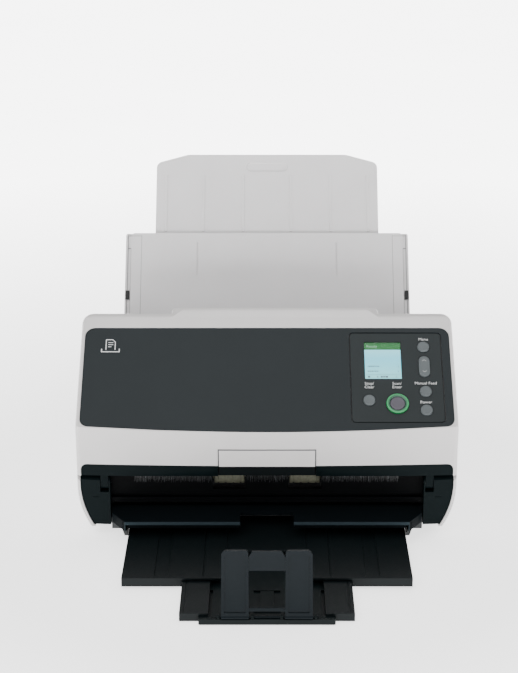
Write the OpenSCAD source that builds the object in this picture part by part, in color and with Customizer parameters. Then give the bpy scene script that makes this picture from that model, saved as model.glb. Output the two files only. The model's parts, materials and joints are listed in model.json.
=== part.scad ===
// Sheet fed document scanner: a front cover that swings open over a driven paper path, a sloping
// paper chute with side guides and a pull-out extension, and a three stage telescopic stacker.
// X runs across the paper, -Y is the front, +Z is up. The origin is on the desk, in the middle of
// the footprint. Side view outlines below are [y, z] pairs with y = 0 at the front of the cover.

/* [Body] */
// Width across the side covers
body_w = 300; // [296:1:306]
// Depth of the body at the desk
body_d = 170; // [168:1:176]
// How far the front bulges forward in the middle
crown = 4.5; // [2:0.5:6]
// Wall thickness of the outer shells
wall = 2.6; // [2.2:0.2:3]
// Height of the lower edge of the white band
band_low = 62; // [61:0.5:63]
// Height of the upper edge of the white band
band_high = 90.2; // [89:0.2:91]
// Lower edge of the body above the desk
body_low = 8; // [6:0.5:9]

/* [Control panel] */
// Slope of the front panel from horizontal
panel_slope = 37; // [36:0.5:38]
// Left edge of the control panel
bezel_x = 66; // [62:1:68]
// Width of the control panel
bezel_w = 74; // [72:1:76]
// Diameter of the small buttons
button_d = 9.6; // [8:0.2:10]
// Diameter of the light ring round the scan button
ring_d = 18; // [17:0.5:19]

/* [Paper path] */
// Slope of the paper chute from horizontal
chute_slope = 53.13; // [52:0.01:54]
// Radius of the curve the paper follows
path_r = 84.5; // [84:0.1:85]
// Half width of the paper path
path_half = 124; // [122:0.5:124]
// Radius of the pick rollers
pick_r = 11.85; // [11:0.05:11.9]
// Radius of the feed rollers
feed_r = 8.9; // [8:0.1:8.9]
// Radius of the eject rollers
eject_r = 7.9; // [7:0.1:7.9]
// Width of each roller
roller_w = 24; // [20:1:26]
// Distance of a roller's middle from the middle of the scanner
roller_x = 30; // [28:1:32]

/* [Chute] */
// Length of the chute from the feed nip
chute_len = 139; // [136:1:142]
// Half width of the chute
chute_half = 123.5; // [121:0.5:123.5]
// How far the extension is pulled out past the chute
ext_out = 76; // [60:1:76]
// Half width of the extension
ext_half = 98; // [90:1:100]
// Half distance between the side guides
guide_x = 108.5; // [106:0.5:109]

/* [Stacker] */
// Half width of the stacker tray
tray_half = 109; // [107:0.5:109]
// Front of the tray, ahead of the body
tray_front = 86; // [84:1:88]
// Half width of the second stage
second_half = 63.5; // [62:0.5:63.5]
// Front of the second stage, ahead of the body
second_front = 134.8; // [132:0.2:136]
// Front of the third stage, ahead of the body
third_front = 140.2; // [139:0.1:142]
// Height of the paper stopper
stopper_h = 50; // [46:1:50]
// How far the stopper leans back from upright
stopper_lean = 10; // [6:1:12]

/* [Hidden] */
$fn = 48;
half_w = body_w / 2;
crown_r = (half_w * half_w + crown * crown) / (2 * crown);
gap = 0.3; // between parts that move past each other
eps = 0.01;
// The paper path: a chute line through chute_foot, then an arc about path_centre, then a straight run
chute_foot = [131.3, 77.2];
path_centre = [76.4, 144.7];
chute_dir = [cos(chute_slope), sin(chute_slope)];
chute_up = [-sin(chute_slope), cos(chute_slope)];
path_out = -82; // angle about path_centre where the arc ends towards the front
pick_at = -45; // angles of the nips about path_centre
feed_at = -78;
hinge_at = [10.5, 43.5];
flap_hinge = [1.7, 74.3];
lever_at = [108, 143];
stopper_at = [-137.4, 5.4];
// Teeth of the module 1 gears
pinion_teeth = 14;
gear_teeth = 16;
// Places of the shafts in the side view
pick_at_yz = on_path(pick_at, -pick_r - 0.15);
feed_at_yz = on_path(feed_at, -feed_r - 0.1);
eject_at_yz = [26.1, 44.3];
motor_at_yz = [120, 35];
pinion_at_yz = pick_at_yz + ((gear_teeth + pinion_teeth) / 2 + 0.15) * [cos(-80), sin(-80)];
shaft_r = 3;
bush_r = 5;
// Chassis
frame_x = 124.5; // inner face of the side frames
frame_t = 2.5;
cheek_back = 20; // ends ahead of the pulley
guide_s = 38; // distance of the pinion up the chute
// Stacker heights
tray_low = 2.2;
tray_high = 9.5;
plate_t = 2.2;
second_low = 0.6;
second_high = 6.9;
// Middle of the footprint
ext_end = chute_len + ext_out;
ext_low = -7;
back_reach = chute_foot[0] + ext_end * chute_dir[0] + ext_low * chute_up[0];
mid_y = (back_reach - third_front) / 2;

// ---- outlines -------------------------------------------------------------------------------

function unit(v) = v / norm(v);
function arc(c, r, a0, a1, n = 10) = [for (i = [0:n])
    c + r * [cos(a0 + (a1 - a0) * i / n), sin(a0 + (a1 - a0) * i / n)]];
// A corner at b between a and c, rounded to radius r
function corner(a, b, c, r, n = 6) = let (
        d1 = unit(a - b), d2 = unit(c - b), half = acos(d1 * d2) / 2,
        m = b + unit(d1 + d2) * r / sin(half),
        s = b + d1 * r / tan(half) - m, e = b + d2 * r / tan(half) - m,
        a0 = atan2(s[1], s[0]), turn = atan2(s[0] * e[1] - s[1] * e[0], s * e))
    arc(m, r, a0, a0 + turn, n);
// Points given as [y, z, radius]
function rounded(p, n = 6) = [for (i = [0:len(p) - 1]) let (
        m = len(p), a = p[(i + m - 1) % m], b = p[i], c = p[(i + 1) % m])
    each b[2] > 0 ? corner([a[0], a[1]], [b[0], b[1]], [c[0], c[1]], b[2], n) : [[b[0], b[1]]]];
// A point at an angle on the paper path, moved towards the cover by lift
function on_path(a, lift = 0) = path_centre + (path_r - lift) * [cos(a), sin(a)];
// A point at distance s up the chute, and h off its face
function on_chute_line(s, h = 0) = chute_foot + s * chute_dir + h * chute_up;

path_arc_low = arc(path_centre, path_r - 1.5, -47, path_out, 8);
ridge = [89.5, 157.7]; // where the panel and the top would meet
top_back = on_chute_line(53, 22.5);
top_slope = atan((ridge[1] - top_back[1]) / (top_back[0] - ridge[0]));
cover_side = rounded([[0, band_low, 0], [0, band_high, 4], [ridge[0], ridge[1], 10],
    [top_back[0], top_back[1], 5], [133, 84, 0]], 10);
cover_under = concat(path_arc_low, [[25, 53.7], [10, 51.8], [3.2, 51.8]]);
cover_outline = concat(cover_side, cover_under, [[3.2, 54], [1, 56]]);
cover_hollow = rounded([[wall, 40, 0], [wall, band_high - 1.2, 3],
    [ridge[0] + 0.7, ridge[1] - wall * 1.25, 7.4], [top_back[0] - 2, top_back[1] - wall * 0.6, 3],
    [top_back[0] + 8, top_back[1] - 6, 0], [150, 60, 0]]);
// Side view of the base, drawn i inside its skin
function base_outline(i) = concat(
    rounded([[body_d - i, body_low, 0], [body_d - i, 118 - i * 0.4, 6 - i],
        [159 - i * 0.4, 132 - i, 6 - i], [147.6 + i * 0.8, 132.5 - i, 3 - i], [135 + i, 82.2 - i * 0.3, 0]]),
    arc(path_centre, path_r + 0.6 + i, -47, path_out, 8),
    [[25, 51.6 - i], [10, 50.4 - i], [9, 50.2 - i], [3.8 + i, 47.2 - i], [3.8 + i, body_low]]);
// Seen from the front: rounded at the top, and pulled in along big curves at the bottom
foot_curve_r = 70;
foot_curve_z = 45;
function front_outline(inset = 0) = let (
        w = half_w - inset, low = body_low + inset * 0.5,
        cx = w - foot_curve_r, sweep = asin((foot_curve_z - low) / foot_curve_r))
    concat(
        arc([cx, foot_curve_z], foot_curve_r, -sweep, 0, 8),
        corner([w, 100], [w, 175], [0, 175], 9), corner([0, 175], [-w, 175], [-w, 100], 9),
        arc([-cx, foot_curve_z], foot_curve_r, 180, 180 + sweep, 8));

// ---- helpers --------------------------------------------------------------------------------

module seat() translate([0, -mid_y, 0]) children();
module prism_x(p, x0, x1) translate([x0, 0, 0]) rotate([90, 0, 90]) linear_extrude(x1 - x0) polygon(p);
module bar_x(r, x0, x1, at, fn = 48)
    translate([x0, at[0], at[1]]) rotate([0, 90, 0]) cylinder(r = r, h = x1 - x0, $fn = fn);
module block(x0, x1, y0, y1, z0, z1) translate([x0, y0, z0]) cube([x1 - x0, y1 - y0, z1 - z0]);
module both() {
    children();
    mirror([1, 0, 0]) children();
}
module sided(side) {
    if (side < 0) mirror([1, 0, 0]) children();
    if (side > 0) children();
}
module on_panel(x = 0, s = 0, h = 0) translate([0, 0, band_high]) rotate([panel_slope, 0, 0])
    translate([x, s, h]) children();
module on_chute(x = 0, s = 0, h = 0) translate([0, chute_foot[0], chute_foot[1]])
    rotate([chute_slope, 0, 0]) translate([x, s, h]) children();
module round_plate(w, l, t, r) linear_extrude(t) round_rect(w, l, r);
module round_rect(w, l, r) polygon([for (q = [[1, 1], [-1, 1], [-1, -1], [1, -1]])
    each arc([q[0] * (w / 2 - r), q[1] * (l / 2 - r)], r,
        q[0] * q[1] > 0 ? (q[0] > 0 ? 0 : 180) : (q[0] > 0 ? 270 : 90),
        q[0] * q[1] > 0 ? (q[0] > 0 ? 90 : 270) : (q[0] > 0 ? 360 : 180), 5)]);
// The body's plan and front view, as a tool to trim side view prisms; inset keeps clear of the skin
module body_form(inset = 0) intersection() {
    translate([0, crown_r + inset, -10]) cylinder(r = crown_r, h = 220, $fn = 720);
    translate([0, 320, 0]) rotate([90, 0, 0]) linear_extrude(400) polygon(front_outline(inset));
}
// Long bar with a rounded upper side, to round the side edges of a sloping face
panel_edge_r = 3.2;
top_edge_r = 10;
module edge_bar(r, w = half_w) translate([0, 300, 0]) rotate([90, 0, 0]) linear_extrude(500) polygon(concat(
    corner([w, -90], [w, 0], [0, 0], r, 8),
    corner([0, 0], [-w, 0], [-w, -90], r, 8),
    [[-w, -260], [w, -260]]));
module top_bar(inset = 0, drop = 0) translate([0, ridge[0], ridge[1]]) rotate([-top_slope, 0, 0])
    translate([0, 0, -drop]) edge_bar(top_edge_r - inset, half_w - inset);
// Rounds the upright edges at the front, where the sides meet the bulging front
module front_edges() let (x = half_w - 20, y = crown - 20 * half_w / crown_r)
    translate([0, 0, -10]) linear_extrude(240) polygon(concat(
        corner([half_w, 80], [half_w, crown], [x, y], 4),
        [[x, -20], [-x, -20]],
        corner([-x, y], [-half_w, crown], [-half_w, 80], 4),
        [[-half_w, 320], [half_w, 320]]));
module cover_form() intersection() {
    body_form();
    front_edges();
    on_panel() edge_bar(panel_edge_r);
    top_bar();
}
// The same, but open at the front
module body_core(inset) translate([0, 320, 0]) rotate([90, 0, 0]) linear_extrude(400)
    polygon(front_outline(inset));

// ---- outer shells of the base ---------------------------------------------------------------

rim_t = 1.2; // lip that closes the top of each side cover
rim_x = frame_x + frame_t + 0.1;
module side_cover(side) seat() sided(side) intersection() {
    difference() {
        prism_x(base_outline(0), rim_x, half_w);
        intersection() {
            prism_x(base_outline(rim_t), rim_x - 1, half_w + 1);
            body_core(wall);
        }
        // room for the front cheek, the chassis sill and the rear cover
        intersection() {
            block(rim_x - 1, half_w + 1, -5, cheek_back + gap, 0, 60);
            body_core(wall);
        }
        block(rim_x - 1, sill_x + gap, 0, body_d + 1, 0, 14);
        block(rim_x - 1, half_w + 1, body_d - wall - gap, body_d + 1, 0, 119);
    }
    body_form();
    front_edges();
}
module side_cover_left() color("gainsboro") side_cover(-1);
module side_cover_right() color("gainsboro") side_cover(1);

knuckle_x0 = 125.3;
knuckle_x1 = 131.5;
knuckle_r = 5;
module front_cheek(side) seat() sided(side) difference() {
    intersection() {
        prism_x(base_outline(0), path_half + eps, half_w);
        body_core(wall + 0.15);
        translate([0, 0, body_low + 0.8]) linear_extrude(60)
            polygon([[path_half, 4.2], [half_w, 5.6], [half_w, cheek_back], [path_half, cheek_back]]);
    }
    // hollow from behind, with a slot for the arm of the cover's hinge
    block(knuckle_x1 + 3.4, half_w - wall - 2.6, 9, cheek_back + 1, 11, 46.4);
    block(frame_x - 1, knuckle_x1 + 4, 16.3, cheek_back + 1, 10, 60);
    block(knuckle_x0 - gap, knuckle_x1 + gap, -1, 16.2, hinge_at[1] - 6, 60);
    bar_x(pin_r, path_half - 1, knuckle_x1 + 3, hinge_at);
    // a shallow panel line
    block(path_half + 9, path_half + 14, -1, 5.3, 33, 33.8);
}
module front_cheek_left() color("#23292b") front_cheek(-1);
module front_cheek_right() color("#23292b") front_cheek(1);

socket_z = 20;
power_x = -92;
usb_x = -62;
lan_x = -34;
screw_xz = [for (x = [-118, 118], z = [24, 84]) [x, z]];
module rear_cover() color("gainsboro") seat() difference() {
    intersection() {
        union() {
            block(-half_w, half_w, body_d - wall, body_d, body_low, 100);
            both() block(frame_x + 3, half_w, body_d - wall, body_d, body_low, 117);
        }
        body_core(0);
    }
    block(power_x - 6.4, power_x + 6.4, 150, body_d + 1, socket_z - 0.4, socket_z + 12.4);
    block(usb_x - 6.9, usb_x + 6.9, 150, body_d + 1, socket_z - 0.4, socket_z + 12.4);
    block(lan_x - 8.4, lan_x + 8.4, 150, body_d + 1, socket_z - 0.4, socket_z + 14.4);
    for (i = [0:9]) block(20 + i * 7, 23 + i * 7, body_d - 5, body_d + 1, 30, 60);
    block(-12, 12, body_d - 5, body_d + 1, 88, 91);
    for (p = screw_xz) translate([p[0], body_d + 1, p[1]]) rotate([90, 0, 0]) {
        cylinder(r = 1.6, h = 10);
        cylinder(r = 3.3, h = 2.2);
    }
}

sill_low = 3;
sill_x = 136;
pin_r = 2;
chute_seat = -13.82; // the chassis is cut to this depth below the chute's face
module base_chassis() color("#3a3f42") seat() difference() {
    union() {
        block(-frame_x, frame_x, 16.6, 164, 10.6, 13);
        both() {
            // sill beside the tray, and the side frame that carries the shafts
            block(tray_half + 0.6, path_half, 10, 164, sill_low, 13);
            block(path_half - eps, sill_x, cheek_back + gap, 164, sill_low, 13);
            intersection() {
                prism_x(base_outline(0), frame_x, frame_x + frame_t);
                block(frame_x, frame_x + frame_t, 17.3, 164, 12, 126);
            }
            block(frame_x, frame_x + 3.5, 158, body_d - wall - 0.05, 12, 112);
            block(112, frame_x, 160, body_d - wall - 0.05, 12, 104);
        }
        // beam that ties the frames together and carries the chute
        block(-frame_x, frame_x, 160, 163, 66, 104);
    }
    both() block(tray_half - 1, tray_half + 2.8, 9, 150, 5.2, 7.8);
    on_chute(-frame_x, 0, chute_seat) cube([2 * frame_x, 90, 60]);
    both() on_chute(hook_x - 0.2, hook_s - 0.2, chute_seat - 7) cube([8.4, 8.4, 9]);
    for (at = [pick_at_yz, feed_at_yz, eject_at_yz]) bar_x(bush_r, -130, 130, at);
    bar_x(7, -130, -100, motor_at_yz);
    bar_x(7, 100, 130, pinion_at_yz);
    for (p = screw_xz) translate([p[0], body_d, p[1]]) rotate([90, 0, 0]) cylinder(r = 1.5, h = 10);
}
module rubber_feet() color("#202020") seat() for (x = [-122, 122], y = [34, 150])
    translate([x, y, 0]) {
        cylinder(r1 = 6.4, r2 = 7, h = 1);
        translate([0, 0, 1]) cylinder(r = 7, h = sill_low - 1);
    }
module case_screws() color("silver") seat() for (p = screw_xz)
    translate([p[0], body_d - 1.2, p[1]]) rotate([90, 0, 0]) difference() {
        union() {
            translate([0, 0, -0.9]) cylinder(r = 2.9, h = 0.9);
            cylinder(r = 1.4, h = 7);
        }
        for (a = [0, 90]) rotate([0, 0, a]) translate([-1.8, -0.4, -1.5]) cube([3.6, 0.8, 1.2]);
    }
module hinge_pins() color("silver") seat() both()
    bar_x(pin_r - 0.05, path_half + 0.2, knuckle_x1 + 2.9, hinge_at);
module shaft_bushes() color("#d9c27a") seat() both() for (at = [pick_at_yz, feed_at_yz, eject_at_yz])
    difference() {
        union() {
            bar_x(bush_r - 0.02, frame_x, frame_x + frame_t, at);
            bar_x(bush_r + 1.4, frame_x - 0.4, frame_x, at);
        }
        bar_x(shaft_r + 0.05, frame_x - 1, frame_x + frame_t + 1, at);
    }

// ---- lower half of the paper path -----------------------------------------------------------

low_t = 2.2;
low_arc_end = -40.5;
module lower_guide() color("#2b3032") seat() difference() {
    prism_x(concat([[14, 49.2]], arc(path_centre, path_r + 1.5, path_out, low_arc_end, 12),
        arc(path_centre, path_r + 1.5 + low_t, low_arc_end, path_out, 12),
        [[16.4, 46.6], [16.4, 26], [10, 26], [10, 30.5], [14, 30.5]]), -path_half, path_half);
    both() {
        translate([roller_x, 0, 0]) {
            bar_x(pick_r + 0.8, -roller_w / 2 - 1, roller_w / 2 + 1, pick_at_yz);
            bar_x(feed_r + 0.8, -roller_w / 2 - 1, roller_w / 2 + 1, feed_at_yz);
            bar_x(eject_r + 0.8, -roller_w / 2 - 1, roller_w / 2 + 1, eject_at_yz);
            block(-roller_w / 2 - 1, roller_w / 2 + 1, 9, 22, 36, 60);
        }
        // grooves that let the sheet slide
        for (x = [60:12:108]) translate([x, 0, 0]) block(0, 1.2, 20, 44, 50.6, 60);
    }
    block(-glass_half - 0.3, glass_half + 0.3, glass_y - 0.3, glass_y + glass_w + 0.3, 45, 70);
    bar_x(shaft_r + 1.8, -path_half - 1, path_half + 1, eject_at_yz);
}
glass_half = 112;
glass_y = 52;
glass_w = 13;
path_tilt = 8;
module glass_plate(y, lift) translate([-glass_half, y, 48.7 + (y - 25) * tan(path_tilt)])
    rotate([path_tilt, 0, 0]) translate([0, 0, lift])
        cube([2 * glass_half, glass_w / cos(path_tilt) - 0.2, 1.8]);
module lower_glass() color("lightcyan", 0.5) seat() glass_plate(glass_y, 0.1);
module lower_image_unit() color("#17191a") seat() difference() {
    union() {
        block(-115, 115, 47, 76, 20, 50);
        block(-118, 118, 52, 70, 13.1, 20);
    }
    block(-110, 110, 54, 62, 30, 51);
    // the rod lens array stands in the slot and is part of the unit
    block(-116, 116, 40, 48, 44, 51);
}
module main_board() color("#1f6b3a") seat() {
    block(-112, 50, 151.4, 153, 15, 62);
    for (c = [[-80, 40, 14], [-40, 44, 10], [10, 42, 12], [34, 30, 8]])
        block(c[0] - c[2], c[0] + c[2] / 2, 149.2, 151.4, c[1] - 5, c[1] + 5);
    for (x = [-100, -90, 22, 30]) translate([x, 149.4 - 6, 22]) rotate([-90, 0, 0]) cylinder(r = 3, h = 8);
}
module socket_shell(x, w, h, iw, ih) difference() {
    block(x - w / 2, x + w / 2, 153.02, body_d - 0.6, socket_z, socket_z + h);
    block(x - iw / 2, x + iw / 2, 157, body_d + 1, socket_z + (h - ih) / 2, socket_z + (h + ih) / 2);
}
module rear_sockets() color("silver") seat() {
    difference() {
        block(power_x - 6, power_x + 6, 153.02, body_d - 0.6, socket_z, socket_z + 12);
        translate([power_x, body_d + 1, socket_z + 6]) rotate([90, 0, 0]) cylinder(r = 3.2, h = 11);
    }
    translate([power_x, body_d - 2, socket_z + 6]) rotate([90, 0, 0]) cylinder(r = 0.8, h = 9);
    socket_shell(usb_x, 13, 12, 9, 8);
    socket_shell(lan_x, 16, 14, 12, 9);
}

// ---- rollers, shafts and drive --------------------------------------------------------------

module shaft(at, x0, x1) seat() difference() {
    bar_x(shaft_r, x0, x1, at);
    // a flat at the driven end
    translate([x0 - 1, at[0] - shaft_r, at[1] + shaft_r - 0.5]) cube([5, 2 * shaft_r, 1]);
}
module roller_pair(at, r) seat() both() translate([roller_x, 0, 0]) difference() {
    union() {
        bar_x(r, -roller_w / 2, roller_w / 2, at);
        bar_x(shaft_r + 1.5, roller_w / 2, roller_w / 2 + 1.5, at);
    }
    bar_x(shaft_r, -roller_w, roller_w, at);
    for (x = [-9, -3, 3, 9]) difference() {
        bar_x(r + 1, x - 0.5, x + 0.5, at);
        bar_x(r - 0.5, x - 1, x + 1, at);
    }
}
module eject_shaft() color("silver") shaft(eject_at_yz, -137, 129);
module feed_shaft() color("silver") shaft(feed_at_yz, -137, 129);
module pick_shaft() color("silver") shaft(pick_at_yz, -129, 137);
module eject_rollers() color("#8d8c78") roller_pair(eject_at_yz, eject_r);
module feed_rollers() color("#4a4d50") roller_pair(feed_at_yz, feed_r);
module pick_rollers() color("#4a4d50") roller_pair(pick_at_yz, pick_r);

belt_x = -135.5;
belt_w = 5;
belt_t = 1.3;
rim_h = 1.1;
motor_pulley_r = 3.6;
feed_pulley_r = 5;
eject_pulley_r = 4.4;
module pulley(at, r, hole_r = 3) seat() difference() {
    union() {
        bar_x(r, belt_x, belt_x + belt_w, at);
        bar_x(r + rim_h, belt_x - 0.8, belt_x - 0.1, at);
        bar_x(r + rim_h, belt_x + belt_w + 0.1, belt_x + belt_w + 0.8, at);
        bar_x(r - 0.3, belt_x - 0.8, belt_x + belt_w + 0.8, at);
    }
    bar_x(hole_r, belt_x - 2, belt_x + belt_w + 2, at);
}
module motor_pulley() color("#c9cccf") {
    pulley(motor_at_yz, motor_pulley_r, 1.5);
    seat() bar_x(1.5, -137, -117, motor_at_yz);
}
module feed_pulley() color("whitesmoke") pulley(feed_at_yz, feed_pulley_r);
module eject_pulley() color("whitesmoke") pulley(eject_at_yz, eject_pulley_r);
module belt_line(extra) hull() for (p = [[motor_at_yz, motor_pulley_r], [feed_at_yz, feed_pulley_r],
    [eject_at_yz, eject_pulley_r]]) translate(p[0]) circle(r = p[1] + extra, $fn = 64);
module drive_belt() color("#1a1a1a") seat() translate([belt_x + 0.4, 0, 0]) rotate([90, 0, 90])
    linear_extrude(belt_w - 0.8) difference() {
        belt_line(belt_t);
        belt_line(0.12);
    }
module motor_body(side, at, length, r) seat() sided(side) difference() {
    union() {
        bar_x(r, 121.5 - length, 121.5, at);
        bar_x(r * 0.8, 118 - length, 121.5 - length, at);
        translate([121.5, at[0] - 5, at[1] - r - 4]) cube([1.2, 10, r + 8]);
        bar_x(5, 121.5, frame_x - 0.6, at);
    }
    bar_x(1.55, 110, 130, at);
}
module drive_motor() color("#7d8286") motor_body(-1, motor_at_yz, 41, 18);
module pick_motor() color("#7d8286") motor_body(1, pinion_at_yz, 37, 11.5);

// An involute tooth outline of module 1, thinned by slack
function involute(rb, t) = rb * [cos(t) + t * PI / 180 * sin(t), sin(t) - t * PI / 180 * cos(t)];
function gear_points(n, slack) = let (rp = n / 2, rb = rp * cos(20), ro = rp + 0.8, rr = rp - 1.15,
        tmax = sqrt(pow(ro / rb, 2) - 1) * 180 / PI,
        lean = tan(20) * 180 / PI - 20, halfa = 90 / n - slack / 2 / rp * 180 / PI + lean,
        flank = [for (i = [0:3]) let (p = involute(rb, tmax * i / 3)) [norm(p), atan2(p[1], p[0]) - halfa]])
    [for (k = [0:n - 1]) let (a = k * 360 / n) each concat(
        [[rr * cos(a - halfa), rr * sin(a - halfa)]],
        [for (f = flank) f[0] * [cos(a + f[1]), sin(a + f[1])]],
        [for (i = [3:-1:0]) flank[i][0] * [cos(a - flank[i][1]), sin(a - flank[i][1])]],
        [[rr * cos(a + halfa), rr * sin(a + halfa)]])];
module gear_x(n, at, x0, x1, turn, hole_r) translate([x0, at[0], at[1]]) rotate([90, 0, 90])
    difference() {
        linear_extrude(x1 - x0) rotate(turn) polygon(gear_points(n, 0.25));
        translate([0, 0, -1]) cylinder(r = hole_r, h = x1 - x0 + 2);
    }
module pick_gear() color("whitesmoke") seat() gear_x(gear_teeth, pick_at_yz, 130, 135, -80, shaft_r);
module pick_pinion() color("whitesmoke") seat() {
    gear_x(pinion_teeth, pinion_at_yz, 129.5, 135.5, 100 + 180 / pinion_teeth, 1.5);
    bar_x(1.5, 117, 135.5, pinion_at_yz);
}

// ---- chute ----------------------------------------------------------------------------------

hook_x = 92;
hook_s = 28;
plate_start = 17.5;
box_start = 22;
box_depth = 12;
rail_w = 5;
slot_half_s = 1.6;
rack_gap = pinion_teeth / 2;
module chute_tray() color("gainsboro") seat() difference() {
    union() {
        // face, side rails, end wall and cross ribs
        on_chute(0, 0, -2.5) linear_extrude(2.5)
            polygon(rounded([[chute_half - rail_w, plate_start, 0], [chute_half - rail_w, chute_len, 3],
                [-chute_half + rail_w, chute_len, 3], [-chute_half + rail_w, plate_start, 0]]));
        both() {
            on_chute(chute_half - rail_w, box_start, -box_depth) linear_extrude(box_depth - 1.5)
                polygon(rounded([[-eps, 0, 0], [rail_w, 0, 2], [rail_w, chute_len - box_start, 2],
                    [rail_w - 2.2, chute_len - box_start, 0], [rail_w - 2.2, 3, 0], [-eps, 3, 0]]));
            on_chute(chute_half - rail_w - eps, box_start, -2.5)
                cube([rail_w, chute_len - box_start - 2, 1]);
        }
        on_chute(-chute_half + 2, chute_len - 2.2, -box_depth)
            cube([2 * chute_half - 4, 2.2, box_depth - 2]);
        on_chute(-chute_half + 2, box_start, -box_depth) cube([2 * chute_half - 4, 1.6, box_depth - 2]);
    }
    // mouth for the extension, slots for the guides, and a small window in each rail
    on_chute(-ext_half - 0.5, chute_len - 5, ext_low - 0.4)
        cube([2 * ext_half + 1, 10, -2.5 - ext_low + 0.4]);
    for (side = [-1, 1]) on_chute(side < 0 ? -116 : 24, guide_s + side * rack_gap - slot_half_s - 0.4, -5)
        cube([92, 2 * slot_half_s + 0.8, 10]);
    both() on_chute(chute_half - 4.4, 78, -6) cube([3, 8, 8]);
    both() on_chute(60, 100, -1) cube([1.2, 30, 3]);
}
module chute_back() color("gainsboro") seat() difference() {
    union() {
        on_chute(-chute_half + 0.6, box_start + 1, -box_depth - 1.8)
            cube([2 * chute_half - 1.2, chute_len - box_start - 2, 1.78]);
        for (x = [-80, -40, 0, 40, 80]) on_chute(x - 0.8, 52, -box_depth - 3) cube([1.6, 70, 1.3]);
        on_chute(0, guide_s, -box_depth - 0.1) cylinder(r = 2.4, h = 3.6);
        on_chute(0, guide_s, -box_depth) cylinder(r = 1.5, h = 8);
        both() on_chute(hook_x, hook_s, -box_depth - 7) cube([8, 6, 5.3]);
        // runners beside the extension
        both() on_chute(ext_half + 0.5, 54, -box_depth - 0.1) cube([1.6, chute_len - 60, 9]);
    }
}
ext_len = 97;
module chute_extension() color("gainsboro") seat() difference() {
    union() {
        on_chute(0, 0, ext_low) linear_extrude(3) polygon(rounded([[-ext_half, ext_end - ext_len, 3],
            [ext_half, ext_end - ext_len, 3], [ext_half, ext_end - 8, 6], [70, ext_end, 14],
            [-70, ext_end, 14], [-ext_half, ext_end - 8, 6]]));
        both() for (x = [20, 55, 88]) on_chute(x, ext_end - ext_len + 24, ext_low + 3 - eps)
            cube([2, ext_len - 44, 0.9]);
    }
    // finger recess
    on_chute(0, ext_end - 12, ext_low + 2) linear_extrude(6) round_rect(36, 8, 3.5);
}
fence_h = 16;
module side_guide(side) seat() sided(side) {
    on_chute(guide_x, 26, 0.4) {
        translate([0, 0, 0]) rotate([90, 0, 90]) linear_extrude(2.4) polygon(rounded([[-7, 0, 1],
            [26, 0, 1], [26, fence_h * 0.7, 5], [16, fence_h, 6], [-2, fence_h, 6], [-7, 4, 2]]));
        cube([8, 26, 1.6]);
    }
    // post through the slot, and the rack under the face
    on_chute(guide_x, guide_s + side * rack_gap - slot_half_s, -5.2) cube([6, 2 * slot_half_s, 6]);
}
rack_len = 118;
module side_rack(side) seat() {
    // the rack's teeth face the pinion across the pitch line
    on_chute(0, guide_s + side * rack_gap, -8.2) difference() {
        union() {
            translate([side > 0 ? guide_x + 6 - rack_len : -guide_x - 6, side > 0 ? 1.15 : -4.15, 0])
                cube([rack_len, 3, 3]);
            translate([side > 0 ? guide_x : -guide_x - 6, side > 0 ? -slot_half_s : -4.15, 0])
                cube([6, 4.15 + slot_half_s, 3.1]);
            for (i = [0:35]) translate([side * (guide_x + 3) - side * i * PI - side * rack_shift, 0, 0])
                linear_extrude(3) polygon([for (p = rack_tooth) [p[0], side * p[1]]]);
        }
        translate([side > 0 ? guide_x + 7 : -guide_x - 17, -8, -1]) cube([10, 16, 6]);
    }
}
rack_tooth = [[-1.05, 1.2], [-0.36, -0.75], [0.36, -0.75], [1.05, 1.2]];
rack_shift = (guide_x + 3) % PI - PI / 2;
module side_guide_left() color("#3a3f42") { side_guide(-1); side_rack(-1); }
module side_guide_right() color("#3a3f42") { side_guide(1); side_rack(1); }
module guide_pinion() color("whitesmoke") seat() on_chute(0, guide_s, -8.3) difference() {
    linear_extrude(3.2) rotate(90) polygon(gear_points(pinion_teeth, 0.3));
    translate([0, 0, -1]) cylinder(r = 1.55, h = 6);
}

// ---- stacker --------------------------------------------------------------------------------

lip_y = -18;
lip_top = 22;
module base_plan(inset) polygon([[-122.4 + inset, 6], [-122.4 + inset, -1], [-111 + inset, lip_y + inset],
    [111 - inset, lip_y + inset], [122.4 - inset, -1], [122.4 - inset, 6]]);
module stacker_base() color("#23292b") seat() difference() {
    union() {
        translate([0, 0, lip_top - 2.4]) linear_extrude(2.4) base_plan(0);
        difference() {
            translate([0, 0, 16]) linear_extrude(4) base_plan(2.2);
            translate([0, 0, 15]) linear_extrude(6) base_plan(4.6);
        }
        both() prism_x([[15.8, 13.05], [9.8, 13.05], [9.8, 1.2], [1, 1.2], [lip_y + 3, 14],
            [lip_y + 3, lip_top - 1], [15.8, lip_top - 1]], 110.2, 113.4);
        both() translate([0, 0, 14]) linear_extrude(lip_top - 15) polygon([[122.4, 15.8], [122.4, -1],
            [111, lip_y], [110.2, lip_y + 2.4], [118.4, 0], [118.4, 15.8]]);
        both() block(114, path_half - 0.1, 10, 16, 13.05, lip_top);
        block(-122.4, 122.4, 5, 16.2, lip_top - 2.4, lip_top);
    }
    block(-21, 21, lip_y - 1, 0, 10, 30);
}
notch_half = 33.5;
notch_len = 44;
tray_back = 62;
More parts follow.
